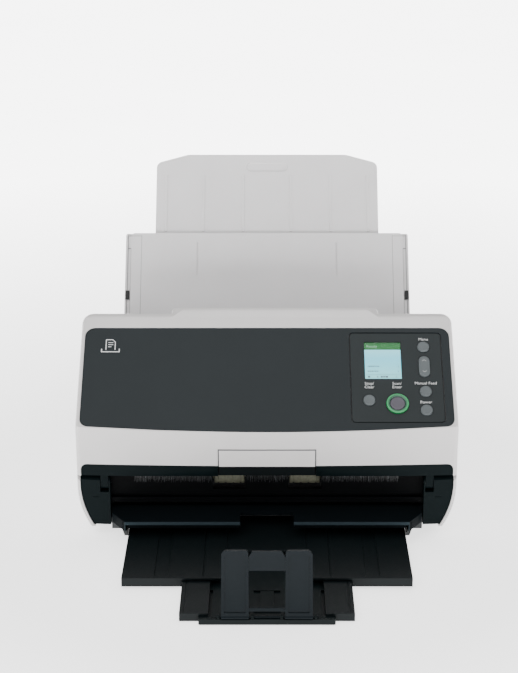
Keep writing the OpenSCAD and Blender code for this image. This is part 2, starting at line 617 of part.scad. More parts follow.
module stacker_tray() color("#202628") seat() difference() {
    union() {
        block(-tray_half, tray_half, -tray_front, tray_back, tray_low, tray_high);
        both() block(tray_half - 1, tray_half + 2.3, 14, tray_back, 5.6, 7.4);
    }
    // room for the second stage, with a groove for its tongues
    block(-second_half - gap, second_half + gap, -tray_front - 1, tray_back + 1, 0, tray_high - plate_t);
    both() block(second_half - 1, second_half + 2.2, -tray_front + 4, tray_back + 1, 3, 5);
    // the stopper folds down into this notch
    block(-notch_half, notch_half, -tray_front - 1, -tray_front + notch_len, 0, 20);
    both() {
        block(74, 84.5, -tray_front + 3, tray_back + 1, tray_high - 0.8, 12);
        for (x = [30, 47.2]) block(x, x + 0.9, -tray_front + 3, tray_back + 1, tray_high - 0.6, 12);
        // hollow underside with cross ribs
        for (y = [-tray_front + 4:24:tray_back - 20]) block(69, tray_half - 3, y, y + 21, tray_low - 1, 6.6);
    }
}
third_half = 40;
second_back = -20;
floor_t = 1.2;
module stacker_extension() color("#202628") seat() difference() {
    union() {
        block(-second_half, second_half, -second_front, second_back, second_low, second_high);
        both() block(second_half - 1, second_half + 1.8, second_back - 45, second_back, 3.3, 4.7);
    }
    // recess that holds the third stage, with a groove on each side
    block(-42.4, 42.4, -second_front - 1, second_back + 1, second_low + floor_t, 12);
    both() block(41, 44, -second_front + 5, second_back + 1, 2.1, 4.1);
    both() block(second_half - 4, second_half - 3, -second_front + 3, second_back + 1,
        second_high - 0.5, 12);
}
bar_half = 49.5;
module stacker_end_slide() color("#1d2325") seat() difference() {
    union() {
        block(-third_half, third_half, -second_front - 2, second_back - 42, 2.1, 3.9);
        both() block(third_half - 1, 43.6, second_back - 74, second_back - 42, 2.5, 3.7);
        // front bar that the stopper stands on
        translate([0, 0, second_low]) linear_extrude(4.4) polygon(rounded([
            [-bar_half, -third_front, 1.5], [bar_half, -third_front, 1.5],
            [bar_half, -second_front - 0.3, 0], [-bar_half, -second_front - 0.3, 0]]));
        // raised runner seen between the stopper's legs
        block(-5, 5, -126, -98, 3.8, 5.2);
        block(-10, 10, -97.6, -96.4, 3.8, 5.4);
        block(-10, 10, -127.2, -126, 3.8, 5.4);
        // hinge lugs
        for (x = [-10.5, 10.5]) bar_x(2.3, x - 1, x + 1, stopper_at);
        for (x = [-10.5, 10.5])
            block(x - 1, x + 1, stopper_at[0] - 2.3, stopper_at[0] + 2.3, 3, stopper_at[1]);
        both() bar_x(2.3, 34.2, 36.2, stopper_at);
        both() block(34.2, 36.2, stopper_at[0] - 2.3, stopper_at[0] + 2.3, 3, stopper_at[1]);
    }
    // room for the stopper's legs to turn
    both() bar_x(2.9, 12.2, 33.2, stopper_at);
    both() block(12.2, 33.2, stopper_at[0], -128, 3.2, 12);
    bar_x(1.05, -40, 40, stopper_at);
}
leg_x0 = 13;
leg_x1 = 32.6;
module stopper_leg(t) rotate([90, 0, 0]) translate([0, 0, -t / 2]) linear_extrude(t)
    polygon(rounded([[leg_x0, 0, 0], [leg_x1 + 0.4, 0, 0], [leg_x1, stopper_h, 4],
        [leg_x0 + 0.4, stopper_h, 2]]));
module paper_stopper() color("#2a3033") seat() translate([0, stopper_at[0], stopper_at[1]])
    rotate([stopper_lean * -1, 0, 0]) difference() {
        union() {
            both() stopper_leg(3.6);
            both() rotate([0, 90, 0]) translate([0, 0, leg_x0]) cylinder(r = 2.3, h = leg_x1 - leg_x0 + 0.4);
            // panel between the legs, with sloping shoulders
            rotate([90, 0, 0]) translate([0, 0, -1.2]) linear_extrude(2.4)
                polygon([[-13.6, 35], [13.6, 35], [13.6, stopper_h - 5.5], [10.6, stopper_h - 0.6],
                    [-10.6, stopper_h - 0.6], [-13.6, stopper_h - 5.5]]);
            rotate([90, 0, 0]) translate([0, 0, -1.2]) linear_extrude(2.4)
                polygon([[-13.1, 4.6], [13.1, 4.6], [13.1, 7], [-13.1, 7]]);
            // hinge pin
            rotate([0, 90, 0]) translate([0, 0, -37]) cylinder(r = 1, h = 74);
        }
        // sunk faces of the legs, front and back
        for (q = [0, 180]) rotate([0, 0, q]) both() translate([0, -1, 0]) rotate([90, 0, 0])
            linear_extrude(2) polygon(rounded([[leg_x0 + 2.2, 3.6, 1], [leg_x1 - 1.8, 3.6, 1],
                [leg_x1 - 2, stopper_h - 2.4, 3], [leg_x0 + 2.4, stopper_h - 2.4, 3]]));
    }

// ---- cover ----------------------------------------------------------------------------------

panel_top = 97.7;
inlay_half = 146.6;
inlay_t = 1.5;
// Lower edge of the dark inlay, which follows the crowned front
function bow(x) = 0.9 + crown / cos(panel_slope) * pow(x / half_w, 2);
function inlay_points(shrink = 0) = let (w = inlay_half - shrink, low = shrink)
    concat([for (i = [-8:8]) let (x = i * (w - 8) / 8) [x, bow(x) + low]],
        corner([w - 8, bow(w - 8) + low], [w, bow(w) + low], [w, 50], 7),
        corner([w, 50], [w, panel_top - low], [0, panel_top - low], 8),
        corner([0, panel_top - low], [-w, panel_top - low], [-w, 50], 8),
        corner([-w, 50], [-w, bow(w) + low], [-w + 8, bow(w - 8) + low], 7));
bezel_s = 9.2;
bezel_l = 84.2;
bezel_c = [bezel_x + bezel_w / 2, bezel_s + bezel_l / 2];
lcd_c = [92.6, 67.2];
menu_c = [125.5, 79.5];
key_c = [125.4, 60.9];
feed_c = [125.4, 37.9];
power_c = [125.3, 20.7];
stop_c = [80.6, 29.7];
scan_c = [102.7, 26.4];
small_buttons = [menu_c, feed_c, power_c, stop_c];
hump_x0 = -71;
hump_x1 = 84;
flap_half = 38;
flap_top = 75.5;
module hump() intersection() {
    rotate([90, 0, 0]) translate([0, 0, -200]) linear_extrude(220) polygon(rounded([[hump_x0 - 8, 150, 0],
        [hump_x1 + 8, 150, 0], [hump_x1 + 6, 155.5, 0], [hump_x1 - 6, 161.6, 4], [hump_x0 + 6, 161.6, 4],
        [hump_x0 - 6, 155.5, 0]]));
    prism_x(rounded([[80, 150, 0], [84, 153.2, 2], [93.6, 161.4, 7], [125, 147.6, 2], [128, 141, 0]]),
        hump_x0 - 10, hump_x1 + 10);
}
module cover_shell() color("gainsboro") seat() difference() {
    union() {
        difference() {
            intersection() {
                prism_x(cover_outline, -half_w, half_w);
                cover_form();
            }
            intersection() {
                prism_x(cover_hollow, -half_w, half_w);
                body_form(wall);
                top_bar(wall, 2);
            }
            // the dark lower edge belongs to the inner guide
            translate([0, 14, 0]) rotate([90, 0, 0]) linear_extrude(19) polygon(concat(
                [[-inlay_half, 40], [inlay_half, 40]],
                corner([inlay_half, 40], [inlay_half, band_low], [0, band_low], 5),
                corner([0, band_low], [-inlay_half, band_low], [-inlay_half, 40], 5)));
        }
        hump();
        // lugs that carry the lever's rod
        both() prism_x([[103.5, 139.2], [103.5, 150.5], [112.5, 146.5], [112.5, 139.2]], 100, 103);
    }
    both() bar_x(lever_rod_r + 0.05, 98, 105, lever_at);
    // pocket for the front panel and the opening behind the controls
    on_panel(0, 0, -inlay_t - 0.05) linear_extrude(10) polygon(inlay_points(-0.15));
    on_panel(bezel_c[0], bezel_c[1], -10) round_plate(bezel_w - 8, bezel_l - 8, 12, 3);
    // opening for the flap
    block(-flap_half - 0.5, flap_half + 0.5, -8, 5, 50, flap_top + 0.6);
    both() bar_x(0.86, flap_half - 1, flap_half + 3.4, flap_hinge);
    // recess for the lever
    block(46.6, 80.4, 102.2, 121.6, 138, 170);
    // inside of the hump stays hollow under the lever
    prism_x([[96, 147], [100, 151.5], [120, 143.6], [124, 138]], 44, 82);
}
module front_panel() color("#333b3f") seat() difference() {
    on_panel(0, 0, -inlay_t) linear_extrude(inlay_t) polygon(inlay_points());
    on_panel(bezel_c[0], bezel_c[1], -5) round_plate(bezel_w, bezel_l, 10, 3.4);
}
bezel_t = 3.2;
module control_bezel() color("#333b3f") seat() difference() {
    union() {
        on_panel(bezel_c[0], bezel_c[1], -inlay_t - 0.02)
            round_plate(bezel_w - 1.6, bezel_l - 1.6, inlay_t - 0.28, 2.8);
        on_panel(bezel_c[0], bezel_c[1], -inlay_t - bezel_t)
            round_plate(bezel_w - 8.6, bezel_l - 8.6, bezel_t + 0.1, 2.4);
    }
    on_panel(lcd_c[0], lcd_c[1], -10) round_plate(29.4, 34.9, 20, 0.6);
    for (c = small_buttons) on_panel(c[0], c[1], -10) cylinder(r = button_d / 2 + 0.3, h = 20);
    on_panel(scan_c[0], scan_c[1], -10) cylinder(r = ring_d / 2 + 0.1, h = 20);
    on_panel(key_c[0], key_c[1], -10) round_plate(9.6, 19.8, 20, 4.7);
}
module lcd_module() color("#cfe9ee") seat() {
    on_panel(lcd_c[0], lcd_c[1], -5.6) round_plate(29, 34.5, 3.6, 0.5);
}
module lcd_window() color("white", 0.3) seat()
    on_panel(lcd_c[0], lcd_c[1], -1.95) round_plate(29, 34.5, 1, 0.5);
module scan_ring() color("#35b06a") seat() difference() {
    union() {
        on_panel(scan_c[0], scan_c[1], -5.6) cylinder(r = ring_d / 2, h = 5.9);
        on_panel(scan_c[0], scan_c[1], -5.6) cylinder(r = ring_d / 2 + 1.2, h = 0.88);
    }
    on_panel(scan_c[0], scan_c[1], -10) cylinder(r = 6.3, h = 20);
}
module button(c, r, top) seat() {
    on_panel(c[0], c[1], -5.7) cylinder(r = r, h = 5.7 + top - 0.4);
    on_panel(c[0], c[1], top - 0.4) cylinder(r1 = r, r2 = r - 0.5, h = 0.4);
    on_panel(c[0], c[1], r > 5 ? -6.6 : -5.7) cylinder(r = r + 0.9, h = 0.95);
}
module menu_button() color("#8b8f92") button(menu_c, button_d / 2, 0.7);
module feed_button() color("#8b8f92") button(feed_c, button_d / 2, 0.7);
module power_button() color("#8b8f92") button(power_c, button_d / 2, 0.7);
module stop_button() color("#8b8f92") button(stop_c, button_d / 2, 0.7);
module scan_button() color("#a39aa0") button(scan_c, 6.0, 0.9);
module scroll_key() color("#8b8f92") seat() {
    on_panel(key_c[0], key_c[1], -2.6) round_plate(9, 19, 3.3, 4.45);
    on_panel(key_c[0] - 4, key_c[1], -3.4) rotate([0, 90, 0]) cylinder(r = 1, h = 8);
}

up_t = 2.2;
up_lift = 1.5;
throat = on_chute_line(30, 22.5);
throat_low = on_chute_line(14, 5.5);
module upper_guide() color("#2b3032") seat() difference() {
    union() {
        intersection() {
            body_form(0.9);
            top_bar(wall + 0.4, 2.4);
            union() {
                prism_x(concat([[top_back[0] - 2.6, top_back[1] - 3.4], throat, throat_low],
                    arc(path_centre, path_r - up_lift, -44, path_out, 8),
                    [[25, 53.7], [10, 51.9], [3.4, 51.9], [1.4, 56], [1.2, band_low - 0.1]],
                    [[3.4, band_low - 0.1], [3.8, 54.6], [10, 54.2], [25, 56]],
                    arc(path_centre, path_r - up_lift - up_t, path_out, -45, 8),
                    [throat_low + [-2.4, 0.6], throat + [-2.4, 0.8]],
                    [[top_back[0] - 5.6, top_back[1] - 3.4]]),
                    -half_w + wall + 0.5, half_w - wall - 0.5);
                // the front edge is thicker where the crown cuts into it
                both() prism_x([[2, 53], [8.2, 53], [8.2, band_low - 0.1], [2, band_low - 0.1]],
                    106, half_w - wall - 0.5);
            }
        }
        // hinge arms
        both() {
            bar_x(knuckle_r, knuckle_x0, knuckle_x1, hinge_at);
            block(knuckle_x0, knuckle_x1, hinge_at[0] - knuckle_r, hinge_at[0] + knuckle_r, hinge_at[1], 53);
        }
        // bearing blocks for the idlers and the brake rollers
        for (x = [-60, 56]) {
            block(x, x + 4, 86, 99, 63, 74);
            block(x, x + 4, 20.5, 28, 54.6, 60);
        }
        for (x = [-62, 58]) prism_x([[122, 90], [129, 83], [134.5, 86], [134.5, 96], [126, 100]], x, x + 4);
    }
    // the outer ends stay clear of the base
    both() prism_x([[131.2, 82], [143.4, 132.8], [160, 132], [160, 60], [131, 60]], path_half - 0.2, half_w);
    both() {
        bar_x(pin_r + 0.05, knuckle_x0 - 1, knuckle_x1 + 1, hinge_at);
        translate([roller_x, 0, 0]) {
            bar_x(brake_r + 0.7, -roller_w / 2 - 1, roller_w / 2 + 1, brake_at_yz);
            bar_x(idler_r + 0.7, -8, 8, idler_at_yz);
            bar_x(exit_r + 0.7, -8, 8, exit_at_yz);
        }
    }
    for (at = [[brake_at_yz, 2.55], [idler_at_yz, 2.05], [exit_at_yz, 1.55]]) bar_x(at[1], -64, 64, at[0]);
    block(-glass_half - 0.3, glass_half + 0.3, upper_glass_y - 1.2, upper_glass_y + glass_w + 0.3, 54, 70);
    block(-flap_half - 0.6, flap_half + 0.6, -4, 4.8, 50, 70);
    // the ends of the dark lower edge follow the opening in the shell
    both() translate([0, 14, 0]) rotate([90, 0, 0]) linear_extrude(19) polygon(concat(
        [[half_w, 40], [half_w, band_low + 1], [inlay_half - 6, band_low + 1]],
        corner([inlay_half - 6, band_low - 0.1], [inlay_half - 0.1, band_low - 0.1],
            [inlay_half - 0.1, 50], 5),
        [[inlay_half - 0.1, 40]]));
}
upper_glass_y = 70;
brake_r = 8.85;
idler_r = 5.85;
exit_r = 4.85;
brake_at_yz = on_path(pick_at, brake_r + 0.15);
idler_at_yz = on_path(feed_at, idler_r + 0.15);
exit_at_yz = [24.3, 57.2];
module upper_glass() color("lightcyan", 0.5) seat() glass_plate(upper_glass_y, 4.8);
module upper_image_unit() color("#17191a") seat() difference() {
    block(-115, 115, 66, 84, 66.6, 92);
    block(-110, 110, 72, 78, 60, 80);
}
module brake_rollers() color("#4a4d50") seat() {
    both() translate([roller_x, 0, 0]) difference() {
        bar_x(brake_r, -roller_w / 2, roller_w / 2, brake_at_yz);
        for (x = [-9, -3, 3, 9]) difference() {
            bar_x(brake_r + 1, x - 0.5, x + 0.5, brake_at_yz);
            bar_x(brake_r - 0.5, x - 1, x + 1, brake_at_yz);
        }
    }
    bar_x(2.5, -63, 63, brake_at_yz);
}
module feed_idlers() color("#5a5d60") seat() {
    both() translate([roller_x, 0, 0]) bar_x(idler_r, -7, 7, idler_at_yz);
    bar_x(2, -61, 61, idler_at_yz);
}
module eject_idlers() color("#5a5d60") seat() {
    both() translate([roller_x, 0, 0]) bar_x(exit_r, -7, 7, exit_at_yz);
    bar_x(1.5, -61, 61, exit_at_yz);
}
module exit_flap() color("gainsboro") seat() difference() {
    union() {
        prism_x([[-0.2, 54.2], [-0.2, 74.4], [0.6, flap_top], [2, flap_top], [2.4, 75], [2.4, 54.2]],
            -flap_half, flap_half);
        block(-flap_half + 3, flap_half - 3, 2.3, 4.4, 55, 57);
        bar_x(0.8, -flap_half - 2.6, flap_half + 2.6, flap_hinge);
    }
    // the lower lip is set back
    block(-flap_half - 1, flap_half + 1, -1, 0.4, 50, band_low - 0.4);
}
lever_rod_r = 2.4;
module open_lever() color("gainsboro") seat() {
    // blade in the recess of the hump, on a rod that joins the two hooks
    prism_x(rounded([[105, 142, 1], [111, 140, 1], [119, 143.2, 1], [119.4, 147.2, 1.5], [107, 153.4, 2],
        [104.6, 152, 1]]), 47.2, 79.8);
    bar_x(lever_rod_r, -136, 136, lever_at);
    both() prism_x([[104, 144], [112, 144], [115, 122], [119, 116], [112, 114], [108, 122]], 133, 136);
}

base_chassis();
side_cover_left();
side_cover_right();
front_cheek_left();
front_cheek_right();
rear_cover();
rubber_feet();
lower_guide();
lower_glass();
lower_image_unit();
drive_motor();
drive_belt();
pick_motor();
main_board();
rear_sockets();
shaft_bushes();
hinge_pins();
case_screws();
stacker_base();
chute_tray();
chute_back();
motor_pulley();
feed_shaft();
feed_rollers();
feed_pulley();
eject_shaft();
eject_rollers();
eject_pulley();
pick_shaft();
pick_rollers();
pick_gear();
pick_pinion();
chute_extension();
side_guide_left();
side_guide_right();
guide_pinion();
stacker_tray();
stacker_extension();
stacker_end_slide();
paper_stopper();
cover_shell();
front_panel();
control_bezel();
lcd_module();
lcd_window();
scan_ring();
upper_guide();
upper_glass();
upper_image_unit();
brake_rollers();
feed_idlers();
eject_idlers();
exit_flap();
open_lever();
menu_button();
scroll_key();
feed_button();
power_button();
stop_button();
scan_button();
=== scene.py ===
import json
import math
import random
import bmesh
import bpy
from mathutils import Matrix, Vector


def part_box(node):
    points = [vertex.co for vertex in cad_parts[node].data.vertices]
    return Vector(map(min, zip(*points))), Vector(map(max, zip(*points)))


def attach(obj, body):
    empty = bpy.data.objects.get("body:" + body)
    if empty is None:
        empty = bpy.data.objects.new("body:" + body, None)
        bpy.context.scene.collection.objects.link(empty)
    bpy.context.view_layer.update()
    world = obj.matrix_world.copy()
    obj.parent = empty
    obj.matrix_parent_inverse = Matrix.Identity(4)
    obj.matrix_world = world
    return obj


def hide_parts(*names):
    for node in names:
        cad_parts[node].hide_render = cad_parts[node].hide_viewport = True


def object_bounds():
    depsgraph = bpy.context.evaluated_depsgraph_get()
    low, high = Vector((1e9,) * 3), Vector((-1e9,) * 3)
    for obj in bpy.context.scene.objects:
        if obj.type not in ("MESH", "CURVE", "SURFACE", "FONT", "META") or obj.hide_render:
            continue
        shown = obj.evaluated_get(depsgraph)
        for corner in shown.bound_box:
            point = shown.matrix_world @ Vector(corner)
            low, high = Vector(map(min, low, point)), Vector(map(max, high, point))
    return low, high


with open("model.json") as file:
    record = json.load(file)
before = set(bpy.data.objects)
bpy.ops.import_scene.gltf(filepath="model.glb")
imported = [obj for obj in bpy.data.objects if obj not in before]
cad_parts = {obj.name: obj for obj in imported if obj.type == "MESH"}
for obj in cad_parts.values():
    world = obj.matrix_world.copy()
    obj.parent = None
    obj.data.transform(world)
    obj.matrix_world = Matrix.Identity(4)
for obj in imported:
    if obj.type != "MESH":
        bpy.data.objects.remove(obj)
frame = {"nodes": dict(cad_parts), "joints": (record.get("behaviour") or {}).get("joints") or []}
cad_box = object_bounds()
nodes = frame["nodes"]
joints = {j["name"]: j for j in frame["joints"]}
MM = 0.001

# ---- places taken from the frame --------------------------------------------------------------

# The control panel's axes: out of its face, across and up its slope, and how far out its face is
PANEL_N = -Vector(joints["menu_press"]["axis"]).normalized()
PANEL_X = Vector((1, 0, 0))
PANEL_S = PANEL_N.cross(PANEL_X).normalized()
PANEL_LIFT = max(PANEL_N.dot(v.co) for v in nodes["front_panel"].data.vertices)


def panel_point(x, s, h=0.0):
    """A point on the control panel: x across, s up the slope, h out of its face. All in metres."""
    return PANEL_X * x + PANEL_S * s + PANEL_N * (PANEL_LIFT + h)


def panel_xs(node):
    """The middle of a CAD node as (x, s) on the panel."""
    vs = [v.co for v in nodes[node].data.vertices]
    xs = [v.x for v in vs]
    ss = [PANEL_S.dot(v) for v in vs]
    return (min(xs) + max(xs)) / 2, (min(ss) + max(ss)) / 2


def half_width(node):
    """Half of a CAD node's width across, along X."""
    lo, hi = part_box(node)
    return (hi.x - lo.x) / 2


# ---- materials --------------------------------------------------------------------------------


def material(name):
    """A new material, with its tree, its shader and a texture coordinate node."""
    m = bpy.data.materials.new(name)
    m.use_nodes = True
    tree = m.node_tree
    shader = tree.nodes["Principled BSDF"]
    coords = tree.nodes.new("ShaderNodeTexCoord")
    return m, tree, shader, coords


def noise(tree, coords, scale, detail, rough, stretch=None):
    """A noise texture in the row frame, which stretch scales along X, Y and Z."""
    n = tree.nodes.new("ShaderNodeTexNoise")
    n.inputs["Scale"].default_value = scale
    n.inputs["Detail"].default_value = detail
    n.inputs["Roughness"].default_value = rough
    if stretch:
        mapping = tree.nodes.new("ShaderNodeMapping")
        mapping.inputs["Scale"].default_value = stretch
        tree.links.new(coords.outputs["Object"], mapping.inputs["Vector"])
        tree.links.new(mapping.outputs["Vector"], n.inputs["Vector"])
    else:
        tree.links.new(coords.outputs["Object"], n.inputs["Vector"])
    return n


def ramp(tree, factor, stops):
    """A colour ramp over a factor, from (position, colour) stops."""
    r = tree.nodes.new("ShaderNodeValToRGB")
    while len(r.color_ramp.elements) < len(stops):
        r.color_ramp.elements.new(0.5)
    for e, (pos, colour) in zip(r.color_ramp.elements, stops):
        e.position = pos
        e.color = (*colour, 1.0)
    tree.links.new(factor, r.inputs["Fac"])
    return r


def spread(tree, value, low, high, a=0.3, b=0.7):
    """Maps a noise value from a..b to low..high."""
    r = tree.nodes.new("ShaderNodeMapRange")
    r.inputs["From Min"].default_value = a
    r.inputs["From Max"].default_value = b
    r.inputs["To Min"].default_value = low
    r.inputs["To Max"].default_value = high
    tree.links.new(value, r.inputs["Value"])
    return r.outputs["Result"]


def bump(tree, shader, height, strength, distance):
    """Relief from a height value."""
    b = tree.nodes.new("ShaderNodeBump")
    b.inputs["Strength"].default_value = strength
    b.inputs["Distance"].default_value = distance
    tree.links.new(height, b.inputs["Height"])
    tree.links.new(b.outputs["Normal"], shader.inputs["Normal"])


def shade(colour, k):
    """A colour times k, kept within 0 to 1."""
    return tuple(min(1.0, max(0.0, c * k)) for c in colour)


def plastic(name, colour, rough, vary, grain=1500.0, depth=0.00006, strength=0.35, cloud=26.0, gloss=0.5):
    """Moulded plastic: a fine spark-eroded grain, faint clouding of the colour, uneven gloss.

    vary is the clouding's contrast, grain and cloud are noise scales, depth (in metres) and strength are the
    grain's relief, and gloss is the level of the mirror reflection.
    """
    m, tree, shader, coords = material(name)
    shader.inputs["Specular IOR Level"].default_value = gloss
    clouds = noise(tree, coords, cloud, 4.0, 0.6)
    tint = ramp(tree, clouds.outputs["Fac"], [
        (0.3, shade(colour, 1 - vary)), (0.5, colour), (0.72, shade(colour, 1 + vary))])
    tree.links.new(tint.outputs["Color"], shader.inputs["Base Color"])
    fine = noise(tree, coords, grain, 2.0, 0.5)
    tree.links.new(spread(tree, fine.outputs["Fac"], rough - 0.06, rough + 0.08), shader.inputs["Roughness"])
    bump(tree, shader, fine.outputs["Fac"], strength, depth)
    return m


def beyond(tree, value, limit, soft):
    """0 below the limit and 1 above it, over a short soft step."""
    r = tree.nodes.new("ShaderNodeMapRange")
    r.inputs["From Min"].default_value = limit - soft
    r.inputs["From Max"].default_value = limit + soft
    tree.links.new(value, r.inputs["Value"])
    return r.outputs["Result"]


def place_split(m):
    """The X, Y and Z of the row frame, in metres."""
    split = m.node_tree.nodes.new("ShaderNodeSeparateXYZ")
    coords = next(n for n in m.node_tree.nodes if n.type == "TEX_COORD")
    m.node_tree.links.new(coords.outputs["Object"], split.inputs[0])
    return split.outputs


# Numbers of a Mix node's colour sockets
MIX_FACTOR, MIX_A, MIX_B, MIX_RESULT = 0, 6, 7, 2


def multiply_tint(m, mask, low, high):
    """Multiplies the base colour by low where the mask is 0 and by high where it is 1."""
    tree = m.node_tree
    colour = tree.nodes["Principled BSDF"].inputs["Base Color"]
    mix = tree.nodes.new("ShaderNodeMix")
    mix.data_type = "RGBA"
    mix.blend_type = "MULTIPLY"
    mix.inputs[MIX_FACTOR].default_value = 1.0
    tree.links.new(colour.links[0].from_socket, mix.inputs[MIX_A])
    tree.links.new(ramp(tree, mask, [(0.0, low), (1.0, high)]).outputs["Color"], mix.inputs[MIX_B])
    tree.links.new(mix.outputs[MIX_RESULT], colour)


def flap_plastic(name, colour, half, top, lip):
    """The shell's plastic with a shadowed rim at its sides and top, and painted shade below a height: there
    its colour is nearly black and its reflection weak.
    """
    side_rim, top_rim, soft = 0.4 * MM, 0.5 * MM, 0.1 * MM
    m = plastic(name, colour, rough=0.44, vary=0.02)
    tree = m.node_tree
    place = place_split(m)
    side = tree.nodes.new("ShaderNodeMath")
    side.operation = "ABSOLUTE"
    tree.links.new(place["X"], side.inputs[0])
    rim = tree.nodes.new("ShaderNodeMath")
    rim.operation = "MAXIMUM"
    tree.links.new(beyond(tree, side.outputs[0], half - side_rim, soft), rim.inputs[0])
    tree.links.new(beyond(tree, place["Z"], top - top_rim, soft), rim.inputs[1])
    multiply_tint(m, rim.outputs[0], NO_TINT, (0.16, 0.17, 0.18))
    # Painted shade on the lip: nearly black colour and a weak reflection below its height
    above = beyond(tree, place["Z"], lip, soft)
    multiply_tint(m, above, (0.006, 0.009, 0.010), NO_TINT)
    tree.links.new(spread(tree, above, 0.04, 0.5, 0.0, 1.0),
                   tree.nodes["Principled BSDF"].inputs["Specular IOR Level"])
    return m


def fibre(name, dark, pale):
    """Bristles: the shade changes from one to the next along X."""
    m, tree, shader, coords = material(name)
    hair = noise(tree, coords, 60.0, 3.0, 0.8, (9.0, 3.0, 3.0))
    tint = ramp(tree, hair.outputs["Fac"], [(0.42, dark), (0.54, shade(dark, 2.0)), (0.68, pale)])
    tree.links.new(tint.outputs["Color"], shader.inputs["Base Color"])
    tree.links.new(spread(tree, hair.outputs["Fac"], 0.4, 0.6), shader.inputs["Roughness"])
    return m


def rubber(name, colour, rough):
    """Dusty rubber with an uneven face."""
    m, tree, shader, coords = material(name)
    dust = noise(tree, coords, 420.0, 5.0, 0.65)
    tint = ramp(tree, dust.outputs["Fac"], [
        (0.35, shade(colour, 0.8)), (0.55, colour), (0.75, shade(colour, 1.3))])
    tree.links.new(tint.outputs["Color"], shader.inputs["Base Color"])
    tree.links.new(spread(tree, dust.outputs["Fac"], rough - 0.1, rough + 0.12), shader.inputs["Roughness"])
    bump(tree, shader, dust.outputs["Fac"], 0.5, 0.0001)
    return m


def metal(name, colour, rough, stretch=(3.0, 60.0, 60.0)):
    """Ground or drawn metal. Its lines are longest along the axis with the least stretch."""
    m, tree, shader, coords = material(name)
    lines = noise(tree, coords, 30.0, 4.0, 0.7, stretch)
    tint = ramp(tree, lines.outputs["Fac"], [(0.3, shade(colour, 0.82)), (0.7, shade(colour, 1.08))])
    tree.links.new(tint.outputs["Color"], shader.inputs["Base Color"])
    shader.inputs["Metallic"].default_value = 1.0
    tree.links.new(spread(tree, lines.outputs["Fac"], rough - 0.08, rough + 0.1), shader.inputs["Roughness"])
    bump(tree, shader, lines.outputs["Fac"], 0.2, 0.00004)
    return m


def painted(name, colour, rough):
    """Powder coat: orange peel over sheet metal."""
    m, tree, shader, coords = material(name)
    peel = noise(tree, coords, 700.0, 3.0, 0.5)
    cloud = noise(tree, coords, 18.0, 3.0, 0.5)
    tint = ramp(tree, cloud.outputs["Fac"], [(0.3, shade(colour, 0.9)), (0.7, shade(colour, 1.1))])
    tree.links.new(tint.outputs["Color"], shader.inputs["Base Color"])
    tree.links.new(spread(tree, peel.outputs["Fac"], rough - 0.08, rough + 0.08), shader.inputs["Roughness"])
    bump(tree, shader, peel.outputs["Fac"], 0.3, 0.0001)
    return m


def clear(name, tint):
    """Glass or clear plastic with faint smears."""
    rough = 0.03
    m, tree, shader, coords = material(name)
    smear = noise(tree, coords, 60.0, 4.0, 0.6)
    t = ramp(tree, smear.outputs["Fac"], [(0.3, tint), (0.7, shade(tint, 1.04))])
    tree.links.new(t.outputs["Color"], shader.inputs["Base Color"])
    tree.links.new(spread(tree, smear.outputs["Fac"], rough, rough + 0.04), shader.inputs["Roughness"])
    shader.inputs["Transmission Weight"].default_value = 1.0
    shader.inputs["IOR"].default_value = 1.3
    return m


def lit(name, stops, axis, low, high, strength):
    """A lit face whose colour runs along an axis of the row frame, from low to high."""
    rough = 0.25
    m, tree, shader, coords = material(name)
    dot = tree.nodes.new("ShaderNodeVectorMath")
    dot.operation = "DOT_PRODUCT"
    dot.inputs[1].default_value = axis
    tree.links.new(coords.outputs["Object"], dot.inputs[0])
    grain = noise(tree, coords, 900.0, 2.0, 0.5)
    run = tree.nodes.new("ShaderNodeMapRange")
    run.inputs["From Min"].default_value = low
    run.inputs["From Max"].default_value = high
    tree.links.new(dot.outputs["Value"], run.inputs["Value"])
    colours = ramp(tree, run.outputs["Result"], stops)
    tree.links.new(colours.outputs["Color"], shader.inputs["Emission Color"])
    shader.inputs["Base Color"].default_value = (0.01, 0.012, 0.013, 1)
    shader.inputs["Specular IOR Level"].default_value = 0.2
    shader.inputs["Emission Strength"].default_value = strength
    tree.links.new(spread(tree, grain.outputs["Fac"], rough, rough + 0.08), shader.inputs["Roughness"])
    return m


def ring_light(name, centre, r0, r1):
    """Translucent green plastic, brighter along its crest. r0 and r1 are its inner and outer radius."""
    m, tree, shader, coords = material(name)
    away = tree.nodes.new("ShaderNodeVectorMath")
    away.operation = "DISTANCE"
    away.inputs[1].default_value = centre
    tree.links.new(coords.outputs["Object"], away.inputs[0])
    run = tree.nodes.new("ShaderNodeMapRange")
    run.inputs["From Min"].default_value = r0
    run.inputs["From Max"].default_value = r1
    tree.links.new(away.outputs["Value"], run.inputs["Value"])
    glow = ramp(tree, run.outputs["Result"], [
        (0.0, (0.045, 0.09, 0.07)), (0.25, (0.028, 0.10, 0.055)), (0.5, (0.012, 0.14, 0.045)),
        (0.74, (0.035, 0.29, 0.105)), (1.0, (0.0, 0.08, 0.018))])
    tree.links.new(glow.outputs["Color"], shader.inputs["Base Color"])
    tree.links.new(glow.outputs["Color"], shader.inputs["Emission Color"])
    shader.inputs["Emission Strength"].default_value = 0.45
    fine = noise(tree, coords, 1200.0, 2.0, 0.5)
    tree.links.new(spread(tree, fine.outputs["Fac"], 0.2, 0.34), shader.inputs["Roughness"])
    return m


